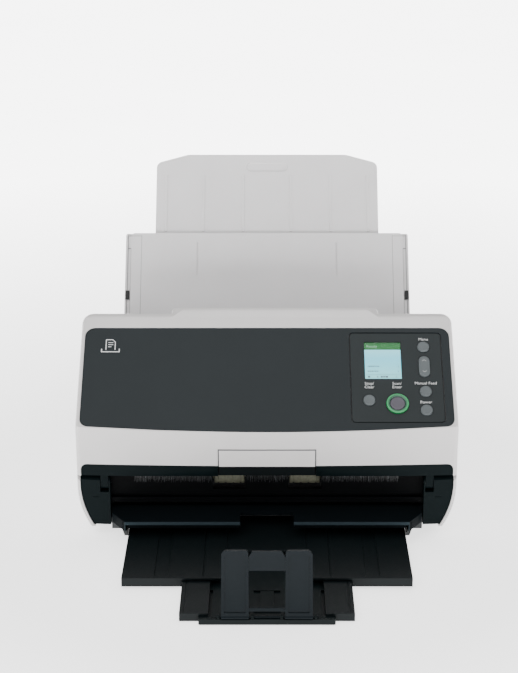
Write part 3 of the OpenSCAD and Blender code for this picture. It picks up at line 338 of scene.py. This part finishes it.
def board_green(name):
    """Green solder mask with paler traces."""
    m, tree, shader, coords = material(name)
    traces = tree.nodes.new("ShaderNodeTexBrick")
    traces.inputs["Color1"].default_value = (0.012, 0.11, 0.045, 1)
    traces.inputs["Color2"].default_value = (0.018, 0.15, 0.06, 1)
    traces.inputs["Mortar"].default_value = (0.05, 0.26, 0.11, 1)
    traces.inputs["Scale"].default_value = 120.0
    traces.inputs["Mortar Size"].default_value = 0.03
    tree.links.new(coords.outputs["Object"], traces.inputs["Vector"])
    tree.links.new(traces.outputs["Color"], shader.inputs["Base Color"])
    shader.inputs["Roughness"].default_value = 0.3
    return m


SHELL_COLOUR = (0.675, 0.655, 0.65)
NO_TINT = (1, 1, 1)
# The stacker base's front edge catches the light: its colour factor and its width
FRONT_EDGE_TINT = (7.0, 7.0, 7.0)
FRONT_EDGE_WIDTH = 0.7 * MM
# The flap's lip below the first height is darkened with painted shade. Its hinge pins, wider than the flap,
# are above the second.
FLAP_LIP_Z = 61.5 * MM
FLAP_PINS_Z = 60 * MM

SHELL = plastic("shell_plastic", SHELL_COLOUR, rough=0.44, vary=0.02)
CHUTE = plastic("chute_plastic", (0.72, 0.705, 0.71), rough=0.46, vary=0.025)
LEVER = plastic("lever_plastic", (0.62, 0.61, 0.605), rough=0.42, vary=0.02)
PANEL = plastic("panel_plastic", (0.0105, 0.0150, 0.0172), rough=0.46, vary=0.06,
                grain=1800.0, depth=0.00005, strength=0.3, gloss=0.26)
BEZEL = plastic("bezel_plastic", (0.0120, 0.0170, 0.0182), rough=0.42, vary=0.06,
                grain=1800.0, depth=0.00005, strength=0.25, gloss=0.28)
DARK = plastic("guide_plastic", (0.0012, 0.0016, 0.0020), rough=0.46, vary=0.08,
               grain=1100.0, depth=0.00008, strength=0.4, gloss=0.05)
CHEEK = plastic("cheek_plastic", (0.0030, 0.0064, 0.0072), rough=0.48, vary=0.08,
                grain=1200.0, depth=0.00008, strength=0.4, gloss=0.055)
LIP = plastic("lip_plastic", (0.0042, 0.0062, 0.0074), rough=0.40, vary=0.08,
              grain=1200.0, depth=0.00006, strength=0.3, gloss=0.01)
front_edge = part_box("stacker_base")[0].y + FRONT_EDGE_WIDTH
behind_edge = beyond(LIP.node_tree, place_split(LIP)["Y"], front_edge, 0.2 * MM)
multiply_tint(LIP, behind_edge, FRONT_EDGE_TINT, NO_TINT)
TRAY = plastic("tray_plastic", (0.0032, 0.0058, 0.0066), rough=0.40, vary=0.1,
               grain=1200.0, depth=0.00008, strength=0.4, gloss=0.17)
SLIDE = plastic("slide_plastic", (0.0022, 0.0052, 0.0058), rough=0.40, vary=0.1,
                grain=1300.0, depth=0.00007, strength=0.4, gloss=0.13)
STOPPER = plastic("stopper_plastic", (0.0036, 0.0070, 0.0094), rough=0.36, vary=0.08,
                  grain=1500.0, depth=0.00006, strength=0.35, gloss=0.12)
KEY = plastic("key_plastic", (0.092, 0.106, 0.111), rough=0.38, vary=0.05,
              grain=2200.0, depth=0.00004, strength=0.3, cloud=90.0, gloss=0.35)
SCAN_KEY = plastic("scan_key_plastic", (0.086, 0.080, 0.099), rough=0.38, vary=0.06,
                   grain=2200.0, depth=0.00004, strength=0.3, cloud=90.0, gloss=0.35)
OPTICS = plastic("optics_plastic", (0.008, 0.0085, 0.009), rough=0.6, vary=0.12,
                 grain=900.0, depth=0.00008, strength=0.4)
GEAR = plastic("gear_plastic", (0.70, 0.69, 0.66), rough=0.35, vary=0.03,
               grain=1500.0, depth=0.00004, strength=0.2, cloud=60.0)
INK = plastic("label_ink", (0.72, 0.73, 0.73), rough=0.5, vary=0.04,
              grain=2500.0, depth=0.00001, strength=0.1, cloud=120.0)
ROLLER = rubber("eject_rubber", (0.135, 0.135, 0.095), 0.72)
DARK_ROLLER = rubber("feed_rubber", (0.050, 0.052, 0.054), 0.75)
FOOT = rubber("foot_rubber", (0.014, 0.014, 0.015), 0.8)
BELT = rubber("belt_rubber", (0.012, 0.012, 0.013), 0.65)
STEEL = metal("ground_steel", (0.56, 0.56, 0.58), 0.28)
PLATED = metal("plated_sheet", (0.6, 0.6, 0.62), 0.34, (40.0, 40.0, 4.0))
BRONZE = metal("sintered_bronze", (0.5, 0.38, 0.17), 0.45, (30.0, 30.0, 30.0))
CHASSIS = painted("chassis_paint", (0.022, 0.026, 0.028), 0.5)
MOTOR = painted("motor_case", (0.20, 0.205, 0.21), 0.4)
BOARD = board_green("board_mask")
BRISTLE = fibre("brush_fibre", (0.003, 0.004, 0.0045), (0.065, 0.07, 0.075))
flap_half = max(v.co.x for v in nodes["exit_flap"].data.vertices if v.co.z < FLAP_PINS_Z)
FLAP = flap_plastic("flap_plastic", SHELL_COLOUR, flap_half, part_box("exit_flap")[1].z, FLAP_LIP_Z)
GLASS = clear("scan_glass", (0.86, 0.94, 0.93))
WINDOW = clear("window_plastic", (0.97, 0.985, 0.985))

NODE_MATERIAL = {
    "base_chassis": CHASSIS, "side_cover_left": SHELL, "side_cover_right": SHELL, "front_cheek_left": CHEEK,
    "front_cheek_right": CHEEK, "rear_cover": SHELL, "rubber_feet": FOOT, "lower_guide": DARK,
    "lower_glass": GLASS, "lower_image_unit": OPTICS, "drive_motor": MOTOR, "drive_belt": BELT,
    "pick_motor": MOTOR, "main_board": BOARD, "rear_sockets": PLATED, "shaft_bushes": BRONZE,
    "hinge_pins": STEEL, "case_screws": STEEL, "stacker_base": LIP, "chute_tray": CHUTE, "chute_back": CHUTE,
    "motor_pulley": STEEL, "feed_shaft": STEEL, "feed_rollers": DARK_ROLLER, "feed_pulley": GEAR,
    "eject_shaft": STEEL, "eject_rollers": ROLLER, "eject_pulley": GEAR, "pick_shaft": STEEL,
    "pick_rollers": DARK_ROLLER, "pick_gear": GEAR, "pick_pinion": GEAR, "chute_extension": CHUTE,
    "side_guide_left": CHEEK, "side_guide_right": CHEEK, "guide_pinion": GEAR, "stacker_tray": TRAY,
    "stacker_extension": TRAY, "stacker_end_slide": SLIDE, "paper_stopper": STOPPER, "cover_shell": SHELL,
    "front_panel": PANEL, "control_bezel": BEZEL, "lcd_module": OPTICS, "lcd_window": WINDOW,
    "upper_guide": CHEEK, "upper_glass": GLASS, "upper_image_unit": OPTICS, "brake_rollers": DARK_ROLLER,
    "feed_idlers": DARK_ROLLER, "eject_idlers": DARK_ROLLER, "exit_flap": FLAP, "open_lever": LEVER,
}
# Radius of the rounding on the edges of each carried-over node, in mm. The rest get FINE.
FINE = 0.25
ROUNDING = {
    "cover_shell": 0.7, "side_cover_left": 0.8, "side_cover_right": 0.8, "rear_cover": 0.8,
    "chute_tray": 0.6, "chute_back": 0.4, "chute_extension": 0.7, "stacker_base": 1.1, "stacker_tray": 0.4,
    "stacker_extension": 0.35, "stacker_end_slide": 0.35, "paper_stopper": 0.45, "exit_flap": 0.3,
    "open_lever": 0.4, "front_cheek_left": 0.5, "front_cheek_right": 0.5, "front_panel": 0.35,
    "control_bezel": 0.35, "side_guide_left": 0.5, "side_guide_right": 0.5,
}


# What dress() joins, counts as flat and counts as an edge
WELD_DISTANCE = 0.01 * MM
FLAT_DEGREES = 0.8
EDGE_DEGREES = 32


def dress(obj, mat, radius):
    """Rounds the edges to a radius in mm and shades the flat and curved faces smoothly."""
    obj.data.materials.clear()
    obj.data.materials.append(mat)
    obj.data.shade_smooth()
    weld = obj.modifiers.new("weld", "WELD")
    weld.merge_threshold = WELD_DISTANCE
    flat = obj.modifiers.new("flat", "DECIMATE")
    flat.decimate_type = "DISSOLVE"
    flat.angle_limit = math.radians(FLAT_DEGREES)
    edge = obj.modifiers.new("edge", "BEVEL")
    edge.width = radius * MM
    edge.segments = 2
    edge.limit_method = "ANGLE"
    edge.angle_limit = math.radians(EDGE_DEGREES)
    edge.harden_normals = True
    edge.use_clamp_overlap = True
    normals = obj.modifiers.new("normals", "WEIGHTED_NORMAL")
    normals.keep_sharp = True


# ---- meshes -----------------------------------------------------------------------------------


def piece(name, verts, faces, mat, body, smooth=False):
    """A new mesh that rides a body."""
    mesh = bpy.data.meshes.new(name)
    mesh.from_pydata([tuple(v) for v in verts], [], faces)
    mesh.validate()
    mesh.update()
    mesh.materials.append(mat)
    obj = bpy.data.objects.new(name, mesh)
    bpy.context.scene.collection.objects.link(obj)
    if smooth:
        mesh.shade_smooth()
    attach(obj, body)
    return obj


def lathe(name, at, profile, mat, body, segments=72):
    """Turns a profile of (radius, height) pairs about the panel's normal at (x, s).

    A pair with radius 0 becomes one point on the axis.
    """
    x, s = at
    verts, faces, rings = [], [], []
    for r, h in profile:
        if r == 0:
            rings.append([len(verts)])
            verts.append(panel_point(x, s, h))
            continue
        rings.append(list(range(len(verts), len(verts) + segments)))
        for k in range(segments):
            a = 2 * math.pi * k / segments
            verts.append(panel_point(x + r * math.cos(a), s + r * math.sin(a), h))
    for lower, upper in zip(rings, rings[1:]):
        for k in range(segments):
            j = (k + 1) % segments
            if len(lower) == 1:
                faces.append((lower[0], upper[j], upper[k]))
            elif len(upper) == 1:
                faces.append((lower[k], lower[j], upper[0]))
            else:
                faces.append((lower[k], lower[j], upper[j], upper[k]))
    obj = piece(name, verts, faces, mat, body, smooth=True)
    fix_outward(obj)
    return obj


def fix_outward(obj):
    """Turns every face of a closed mesh outward."""
    bm = bmesh.new()
    bm.from_mesh(obj.data)
    bmesh.ops.recalc_face_normals(bm, faces=bm.faces)
    bm.to_mesh(obj.data)
    bm.free()


def slab(name, outline, h0, h1, mat, body):
    """An outline of (x, s) points on the panel, raised from h0 to h1."""
    n = len(outline)
    verts = [panel_point(x, s, h) for h in (h0, h1) for x, s in outline]
    faces = [tuple(range(n - 1, -1, -1)), tuple(range(n, 2 * n))]
    faces += [(k, (k + 1) % n, n + (k + 1) % n, n + k) for k in range(n)]
    obj = piece(name, verts, faces, mat, body)
    fix_outward(obj)
    return obj


def bar(x0, s0, x1, s1):
    """The four corners of an upright rectangle."""
    return [(x0, s0), (x1, s0), (x1, s1), (x0, s1)]


def rectangle(cx, cs, w, l):
    """The corners of a rectangle about its middle."""
    return bar(cx - w / 2, cs - l / 2, cx + w / 2, cs + l / 2)


def rounded_rectangle(cx, cs, w, l, r):
    """The outline of a rectangle with rounded corners, about its middle."""
    steps = 5
    points = []
    for qx, qs, a0 in ((1, -1, -90), (1, 1, 0), (-1, 1, 90), (-1, -1, 180)):
        for k in range(steps + 1):
            a = math.radians(a0 + 90 * k / steps)
            points.append((cx + qx * (w / 2 - r) + r * math.cos(a), cs + qs * (l / 2 - r) + r * math.sin(a)))
    return points


# Half the thickness of printed words
INK_DEPTH = 0.04 * MM


def words(name, text, size, at, h, mat, body, align="CENTER"):
    """Printed words on the panel, as a thin mesh."""
    curve = bpy.data.curves.new(name + "_curve", "FONT")
    curve.body = text
    curve.size = size
    curve.align_x = align
    curve.align_y = "CENTER"
    curve.space_line = 0.95
    curve.extrude = INK_DEPTH
    curve.resolution_u = 3
    maker = bpy.data.objects.new(name + "_maker", curve)
    bpy.context.scene.collection.objects.link(maker)
    bpy.context.view_layer.update()
    mesh = bpy.data.meshes.new_from_object(maker.evaluated_get(bpy.context.evaluated_depsgraph_get()))
    bpy.data.objects.remove(maker)
    place = Matrix((
        (PANEL_X.x, PANEL_S.x, PANEL_N.x, 0), (PANEL_X.y, PANEL_S.y, PANEL_N.y, 0),
        (PANEL_X.z, PANEL_S.z, PANEL_N.z, 0), (0, 0, 0, 1)))
    place.translation = panel_point(at[0], at[1], h)
    mesh.transform(place)
    mesh.name = name
    mesh.materials.clear()
    mesh.materials.append(mat)
    obj = bpy.data.objects.new(name, mesh)
    bpy.context.scene.collection.objects.link(obj)
    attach(obj, body)
    return obj


# ---- the carried-over nodes -------------------------------------------------------------------

for node, mat in NODE_MATERIAL.items():
    dress(nodes[node], mat, ROUNDING.get(node, FINE))

# ---- buttons ----------------------------------------------------------------------------------

# A key's flange, which holds it under the panel: its width, its top and its underside
FLANGE = 0.9 * MM
FLANGE_TOP = -4.8 * MM
FLANGE_UNDER = -5.6 * MM
# Rounding of a key's rim, and the height and the dishing of the caps' faces
KEY_RIM = 1.1 * MM
KEY_TOP, KEY_DISH = 1.15 * MM, 0.3 * MM
SCAN_TOP, SCAN_DISH = 1.2 * MM, 0.5 * MM


def cap_profile(r, top, dish):
    """Half section of a key cap, with a soft rim and a slightly dished face."""
    rim = [(r - KEY_RIM + KEY_RIM * math.sin(a), top - KEY_RIM + KEY_RIM * math.cos(a))
           for a in [math.radians(degrees) for degrees in range(0, 91, 15)]]
    face = [(0.0, top - dish), (r * 0.35, top - dish * 0.86), (r * 0.62, top - dish * 0.42)]
    skirt = [(r, FLANGE_TOP), (r + FLANGE, FLANGE_TOP), (r + FLANGE, FLANGE_UNDER), (0.0, FLANGE_UNDER)]
    return face + rim + skirt


for node, body in (("menu_button", "menu_key"), ("feed_button", "feed_key"), ("power_button", "power_key"),
                   ("stop_button", "stop_key")):
    profile = cap_profile(half_width(node) - FLANGE, KEY_TOP, KEY_DISH)
    cap = lathe(node + "_cap", panel_xs(node), profile, KEY, body)
    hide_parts(node)

scan_at = panel_xs("scan_button")
scan_r = half_width("scan_button") - FLANGE
scan_profile = cap_profile(scan_r, SCAN_TOP, SCAN_DISH)
scan_cap = lathe("scan_button_cap", scan_at, scan_profile, SCAN_KEY, "scan_key")
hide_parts("scan_button")

# The ring round the scan button: a rounded crest, and a wider foot that clears the button's flange
RING_FOOT = 1.2 * MM
RING_FOOT_TOP = -4.75 * MM
RING_FOOT_UNDER = -5.5 * MM
RING_UNDER = -4.7 * MM
# Height of the crest's edge, and the crest's rise over it, in mm
RING_SHOULDER, RING_CROWN = 0.5, 0.9
ring_r = half_width("scan_ring") - RING_FOOT
ring_in = scan_r + 0.3 * MM
flange_clear = scan_r + FLANGE + 0.15 * MM
crest = (ring_r + ring_in) / 2
ring_profile = [(ring_in, RING_UNDER), (ring_in, RING_SHOULDER * MM)]
ring_profile += [
    (crest - (crest - ring_in) * math.cos(a), (RING_SHOULDER + RING_CROWN * math.sin(a)) * MM)
    for a in [math.radians(degrees) for degrees in range(15, 180, 15)]]
ring_profile += [
    (ring_r, 0.4 * MM), (ring_r, RING_FOOT_TOP), (ring_r + RING_FOOT, RING_FOOT_TOP),
    (ring_r + RING_FOOT, RING_FOOT_UNDER), (flange_clear, RING_FOOT_UNDER), (flange_clear, RING_UNDER),
    (ring_in, RING_UNDER)]
RING = ring_light("ring_plastic", panel_point(*scan_at), ring_in, ring_r)
ring = lathe("scan_ring_light", scan_at, ring_profile, RING, "cover", 96)
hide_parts("scan_ring")

# The two-way key: a pill with a crowned face and two small marks
key_x, key_s = panel_xs("scroll_key")
KEY_W, KEY_L = 9.0 * MM, 19.0 * MM
PILL_SIDES = 64
# Each level of the pill: how far in from its outline, and how high, in mm
PILL_LEVELS = [(0.0, -2.6), (0.0, 0.2), (0.12, 0.65), (0.45, 0.95), (1.0, 1.1), (2.0, 1.16), (3.2, 1.18)]


def pill(inset, h):
    """One level of the key, as (x, s, h) points on the panel."""
    w, l = KEY_W / 2 - inset, KEY_L / 2 - inset
    run = l - w
    return [(key_x + w * math.cos(a), key_s + (run if math.sin(a) >= 0 else -run) + w * math.sin(a), h)
            for a in [math.pi * (2 * k + 1) / PILL_SIDES for k in range(PILL_SIDES)]]


verts = [panel_point(*p) for inset, h in PILL_LEVELS for p in pill(inset * MM, h * MM)]
last = PILL_SIDES * (len(PILL_LEVELS) - 1)
faces = []
for k in range(0, last, PILL_SIDES):
    for i in range(PILL_SIDES):
        j = (i + 1) % PILL_SIDES
        faces.append((k + i, k + j, k + PILL_SIDES + j, k + PILL_SIDES + i))
faces.append(tuple(range(last, last + PILL_SIDES)))
faces.append(tuple(range(PILL_SIDES - 1, -1, -1)))
scroll_cap = piece("scroll_key_cap", verts, faces, KEY, "scroll", smooth=True)
fix_outward(scroll_cap)
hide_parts("scroll_key")

MARK = plastic("key_mark_ink", (0.36, 0.365, 0.37), rough=0.5, vary=0.05,
               grain=2500.0, depth=0.00001, strength=0.1, cloud=120.0)
MARK_OUT = 5.4 * MM
for name, sign in (("up", 1), ("down", -1)):
    mid = key_s + sign * MARK_OUT
    half, rise, thick = 1.6 * MM, 1.1 * MM, 0.55 * MM
    chevron = [
        (key_x - half, mid - sign * rise / 2), (key_x, mid + sign * rise / 2),
        (key_x + half, mid - sign * rise / 2), (key_x + half, mid - sign * (rise / 2 + thick)),
        (key_x, mid + sign * (rise / 2 - thick)), (key_x - half, mid - sign * (rise / 2 + thick))]
    slab("scroll_mark_" + name, chevron, 1.1 * MM, 1.24 * MM, MARK, "scroll")

# ---- screen -----------------------------------------------------------------------------------

SCREEN_L = 34.4 * MM
HEAD_L = 6.6 * MM
# The lit faces lie on the module, each a film's thickness over the last
SCREEN_H = -1.97 * MM
FILM = 0.01 * MM
lcd_x, lcd_s = panel_xs("lcd_module")
lcd_w = 2 * half_width("lcd_module")
lit_w = lcd_w - 0.4 * MM
lcd_left = lcd_x - lcd_w / 2
s_low, s_high = lcd_s - SCREEN_L / 2, lcd_s + SCREEN_L / 2
PAGE_STOPS = [(0.0, (0.22, 0.66, 0.70)), (0.25, (0.22, 0.68, 0.76)), (0.7, (0.16, 0.64, 0.80)),
              (1.0, (0.26, 0.74, 0.84))]
HEADER_STOPS = [(0.0, (0.0, 0.15, 0.018)), (0.6, (0.0, 0.19, 0.024)), (1.0, (0.0, 0.115, 0.014))]
SCREEN = lit("screen_light", PAGE_STOPS, PANEL_S, s_low, s_high - HEAD_L, 2.0)
HEADER = lit("header_light", HEADER_STOPS, PANEL_S, s_high - HEAD_L, s_high, 1.35)
GREY_TEXT = lit("screen_grey_text", [(0.0, (0.22, 0.34, 0.38)), (1.0, (0.26, 0.40, 0.46))],
                PANEL_X, lcd_left, lcd_x + lcd_w / 2, 0.9)
PALE_TEXT = lit("screen_pale_text", [(0.0, (0.30, 0.66, 0.42)), (1.0, (0.36, 0.72, 0.48))],
                PANEL_X, lcd_left, lcd_x + lcd_w / 2, 1.1)
slab("screen_page", rectangle(lcd_x, s_low + (SCREEN_L - HEAD_L) / 2, lit_w, SCREEN_L - HEAD_L),
     SCREEN_H, SCREEN_H + FILM, SCREEN, "cover")
slab("screen_header", rectangle(lcd_x, s_high - HEAD_L / 2, lit_w, HEAD_L),
     SCREEN_H, SCREEN_H + FILM, HEADER, "cover")
words("screen_status", "Ready", 3.6 * MM, (lcd_left + 1.6 * MM, s_high - HEAD_L / 2), SCREEN_H + 2 * FILM,
      PALE_TEXT, "cover", "LEFT")


def dashes(start, widths):
    """Bars of the given widths from a start, as (start, end) pairs in mm."""
    gap = 0.45
    spans, x = [], start
    for w in widths:
        spans.append((x, x + w))
        x += w + gap
    return spans


# Rows of short bars that read as small text: height over the screen's lower edge, bar height, bars. In mm.
TEXT_ROWS = {
    "screen_row_top": (12.2, 1.1, dashes(2.2, [0.5, 1.1, 1.0, 1.2, 0.9, 0.5, 1.2]) + [(26.4, 27.2)]),
    "screen_row_mid": (7.6, 1.1, dashes(2.2, [1.3, 0.9, 1.2, 0.6, 1.1, 1.0]) + [(26.4, 27.2)]),
    "screen_row_low": (2.4, 1.8, [(2.2, 4.0), (9.6, 10.4)] + dashes(12.4, [1.6, 1.2, 2.2]) + [(24.8, 25.3)]),
    "screen_rule": (4.6, 0.25, [(0.8, lcd_w / MM - 0.8)]),
}
for name, (up, tall, spans) in TEXT_ROWS.items():
    verts, faces = [], []
    for start, end in spans:
        k = len(verts)
        verts += [panel_point(lcd_left + x * MM, s_low + (up + t * tall / 2) * MM, SCREEN_H + 3 * FILM)
                  for x, t in bar(start, -1, end, 1)]
        faces.append((k, k + 1, k + 2, k + 3))
    piece(name, verts, faces, GREY_TEXT, "cover")

# ---- groove round the controls ----------------------------------------------------------------

# A dark gasket lies in the groove round the control bezel, as a narrow band
GROOVE = 0.7 * MM
GASKET = 0.66 * MM
GASKET_CORNER = 3.4 * MM
bez_x, bez_s = panel_xs("control_bezel")
bez_w = 2 * half_width("control_bezel")
bez_vs = [PANEL_S.dot(v.co) for v in nodes["control_bezel"].data.vertices]
gasket_w = bez_w + 2 * GROOVE
gasket_l = max(bez_vs) - min(bez_vs) + 2 * GROOVE
outer = rounded_rectangle(bez_x, bez_s, gasket_w, gasket_l, GASKET_CORNER)
inner = rounded_rectangle(bez_x, bez_s, gasket_w - 2 * GASKET, gasket_l - 2 * GASKET, GASKET_CORNER - GASKET)
n = len(outer)
verts = [panel_point(x, s, h) for h in (-1.5 * MM, -1.2 * MM) for line in (outer, inner) for x, s in line]
faces = []
for k in range(n):
    j = (k + 1) % n
    faces += [(2 * n + k, 2 * n + j, 3 * n + j, 3 * n + k), (k, n + k, n + j, j),
              (k, j, 2 * n + j, 2 * n + k), (n + k, 3 * n + k, 3 * n + j, n + j)]
fix_outward(piece("bezel_gasket", verts, faces, OPTICS, "cover"))

# ---- brush at the paper exit ------------------------------------------------------------------

# The brush hangs just behind the front edge of the upper guide, from a line above and ahead of the cover's
# hinge. It leaves room for the rollers. Distances in mm.
BRUSH_AHEAD, BRUSH_ABOVE = 6.3, 8.4
BRUSH_END = 104.0
ROLLER_ROOM = (16.5, 43.5)
# Half of a bristle's width at its tip
TIP_HALF = 0.05
hinge_line = Vector(joints["cover_open"]["pos_m"])
brush_y = hinge_line.y - BRUSH_AHEAD * MM
brush_top = hinge_line.z + BRUSH_ABOVE * MM
dice = random.Random(7)
verts, faces = [], []
x = -BRUSH_END
while x < BRUSH_END:
    if not ROLLER_ROOM[0] < abs(x) < ROLLER_ROOM[1]:
        w, lean, tip = dice.uniform(0.08, 0.2), dice.uniform(-0.7, 0.7), dice.uniform(3.2, 6.2)
        y = brush_y + dice.uniform(0.0, 0.5) * MM
        k = len(verts)
        verts += [(across * MM, y, brush_top - down * MM) for across, down in (
            (x - w, 0.0), (x + w, 0.0), (x + lean + TIP_HALF, tip), (x + lean - TIP_HALF, tip))]
        faces.append((k, k + 1, k + 2, k + 3))
    x += dice.uniform(0.35, 0.6)
piece("exit_brush", verts, faces, BRISTLE, "cover")

# ---- painted shadow lines and windows of the chute's rails ------------------------------------

# Up the chute's slope, and out of its face
CHUTE_S = -Vector(joints["chute_extension_slide"]["axis"]).normalized()
CHUTE_N = PANEL_X.cross(CHUTE_S)
chute_vs = [v.co for v in nodes["chute_tray"].data.vertices]
chute_end = max(CHUTE_S.dot(v) for v in chute_vs)
chute_face = max(CHUTE_N.dot(v) for v in chute_vs)
chute_edge = half_width("chute_tray")
# The lines in front of the side guides end just above them
guides_top = max(CHUTE_S.dot(v.co) for v in nodes["side_guide_left"].data.vertices)
fold_end = (chute_end - guides_top) / MM - 1
# How far the marks' undersides are sunk in the chute, in mm
MARK_SUNK = 0.25


def rail_marks(name, parts, rise, mat):
    """Thin plates on the chute's face, on both sides.

    Each part is (x0, x1, d0, d1) in mm: x in from the side edge, d down from the upper end.
    """
    verts, faces = [], []
    for side in (-1, 1):
        for x0, x1, d0, d1 in parts:
            k = len(verts)
            for h in (-MARK_SUNK, rise):
                for x, d in bar(x0, d0, x1, d1):
                    verts.append(PANEL_X * side * (chute_edge - x * MM) + CHUTE_S * (chute_end - d * MM)
                                 + CHUTE_N * (chute_face + h * MM))
            faces += [(k, k + 1, k + 2, k + 3), (k + 4, k + 5, k + 6, k + 7)]
            faces += [(k + i, k + (i + 1) % 4, k + 4 + (i + 1) % 4, k + 4 + i) for i in range(4)]
    fix_outward(piece(name, verts, faces, mat, "base"))


# The seam and fold lines are painted shadow: dark plates where shade falls along the rails' seams and folds
SEAM_SHADE = plastic("rail_seam_shadow", (0.17, 0.17, 0.175), rough=0.6, vary=0.08, gloss=0.2)
FOLD_SHADE = plastic("rail_fold_shadow", (0.40, 0.39, 0.39), rough=0.55, vary=0.05, gloss=0.3)
rail_marks("rail_seams", [(1.9, 2.45, 2, 53), (1.6, 2.15, 61, 115), (2.45, 4.8, 14, 14.6)], 0.04, SEAM_SHADE)
rail_marks("rail_folds", [(13.6, 14.1, 2, fold_end), (2.45, 13.6, 2.4, 2.9), (4.5, 4.9, 14.6, fold_end)],
           0.03, FOLD_SHADE)
rail_marks("rail_windows", [(0.7, 4.0, 53, 61)], 0.05, OPTICS)

# ---- printed labels ---------------------------------------------------------------------------

LABEL = 3.5 * MM
# The labels are just over the bezel, whose face is 0.3 mm below the panel's
LABEL_H = -0.13 * MM
# Each label's words, its key, and how far its middle is across and up from the key's, in mm
for name, text, node, dx, ds in (
        ("label_menu", "Menu", "menu_button", 0.3, 7.3),
        ("label_stop", "Stop/\nClear", "stop_button", 0.4, 13.8),
        ("label_scan", "Scan/\nEnter", "scan_button", 0.2, 17.1),
        ("label_feed", "Manual Feed", "feed_button", 0.4, 7.5),
        ("label_power", "Power", "power_button", -0.1, 7.2)):
    x, s = panel_xs(node)
    words(name, text, LABEL, (x + dx * MM, s + ds * MM), LABEL_H, INK, "cover")

# A generic pictogram of a sheet going into a tray, at the panel's upper left
PICTOGRAM_IN, PICTOGRAM_DOWN = 21 * MM, 18 * MM
mark_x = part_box("front_panel")[0].x + PICTOGRAM_IN
mark_s = max(PANEL_S.dot(v.co) for v in nodes["front_panel"].data.vertices) - PICTOGRAM_DOWN


def strokes(name, parts):
    """Printed shapes, each an outline of (x, s) points in mm from the pictogram's middle."""
    verts, faces = [], []
    for outline in parts:
        k = len(verts)
        verts += [panel_point(mark_x + x * MM, mark_s + s * MM, 0.05 * MM) for x, s in outline]
        faces.append(tuple(range(k, k + len(outline))))
    piece(name, verts, faces, INK, "cover")


strokes("mark_sheet", [
    bar(-4, -3, -3.3, 7), bar(3.3, -3, 4, 4.4), bar(-3.3, 6.3, 1.6, 7),
    [(1.6, 7), (1.6, 6.1), (3.3, 4.4), (4, 4.4)], bar(-2, 3.6, 2, 4.2), bar(-2, 1.6, 2, 2.2),
    bar(-2, -0.4, 0.6, 0.2)])
strokes("mark_tray", [bar(-7.5, -5.2, 7.5, -4.4), bar(-7.5, -4.4, -6.7, -2), bar(6.7, -4.4, 7.5, -2)])

# ---- light, floor and camera ------------------------------------------------------------------

FLOOR_HALF = 40.0


def floor():
    """A wide white floor at the object's lowest point, which glows more with distance."""
    mat, tree, shader, coords = material("floor_paper")
    cloud = noise(tree, coords, 3.0, 3.0, 0.5)
    tint = ramp(tree, cloud.outputs["Fac"], [(0.3, (0.93, 0.93, 0.93)), (0.7, (0.96, 0.96, 0.96))])
    tree.links.new(tint.outputs["Color"], shader.inputs["Base Color"])
    away = tree.nodes.new("ShaderNodeVectorMath")
    away.operation = "LENGTH"
    tree.links.new(coords.outputs["Object"], away.inputs[0])
    tree.links.new(tint.outputs["Color"], shader.inputs["Emission Color"])
    glow = spread(tree, away.outputs["Value"], 1.9, 6.5, 0.25, 1.1)
    tree.links.new(glow, shader.inputs["Emission Strength"])
    shader.inputs["Roughness"].default_value = 0.9
    mesh = bpy.data.meshes.new("studio_floor")
    z = cad_box[0][2]
    corners = bar(-FLOOR_HALF, -FLOOR_HALF, FLOOR_HALF, FLOOR_HALF)
    mesh.from_pydata([(x, y, z) for x, y in corners], [], [(0, 1, 2, 3)])
    mesh.materials.append(mat)
    obj = bpy.data.objects.new("studio_floor", mesh)
    bpy.context.scene.collection.objects.link(obj)


def area(name, at, aim, size, power):
    """A white area light at a point, aimed at another."""
    data = bpy.data.lights.new(name, "AREA")
    data.shape = "RECTANGLE"
    data.size, data.size_y = size
    data.energy = power
    obj = bpy.data.objects.new(name, data)
    obj.location = at
    obj.rotation_euler = (Vector(aim) - Vector(at)).to_track_quat("-Z", "Y").to_euler()
    bpy.context.scene.collection.objects.link(obj)


floor()
world = bpy.data.worlds.new("studio")
world.use_nodes = True
world.node_tree.nodes["Background"].inputs["Color"].default_value = (1.0, 1.0, 1.0, 1)
world.node_tree.nodes["Background"].inputs["Strength"].default_value = 0.7
bpy.context.scene.world = world
area("key_light", (-0.5, -0.9, 1.5), (0, 0, 0.08), (1.2, 0.9), 11.0)
area("top_light", (0.2, 0.25, 1.7), (0, 0, 0.1), (1.4, 1.2), 6.0)

# The camera that was fitted to the photograph: its place in metres, its tilt in degrees, its lens in mm, and
# how far its picture is shifted sideways, as a share of the picture's longer side
CAMERA_AT = (0.0, -1.279, 0.6127)
CAMERA_TILT = 70
CAMERA_LENS = 90.9
CAMERA_SHIFT = -0.011887
camera = bpy.data.cameras.new("camera")
camera.lens = CAMERA_LENS
camera.sensor_width = 36.0
camera.shift_x = CAMERA_SHIFT
camera_obj = bpy.data.objects.new("camera", camera)
camera_obj.location = CAMERA_AT
camera_obj.rotation_euler = (math.radians(CAMERA_TILT), 0.0, 0.0)
bpy.context.scene.collection.objects.link(camera_obj)
bpy.context.scene.camera = camera_obj
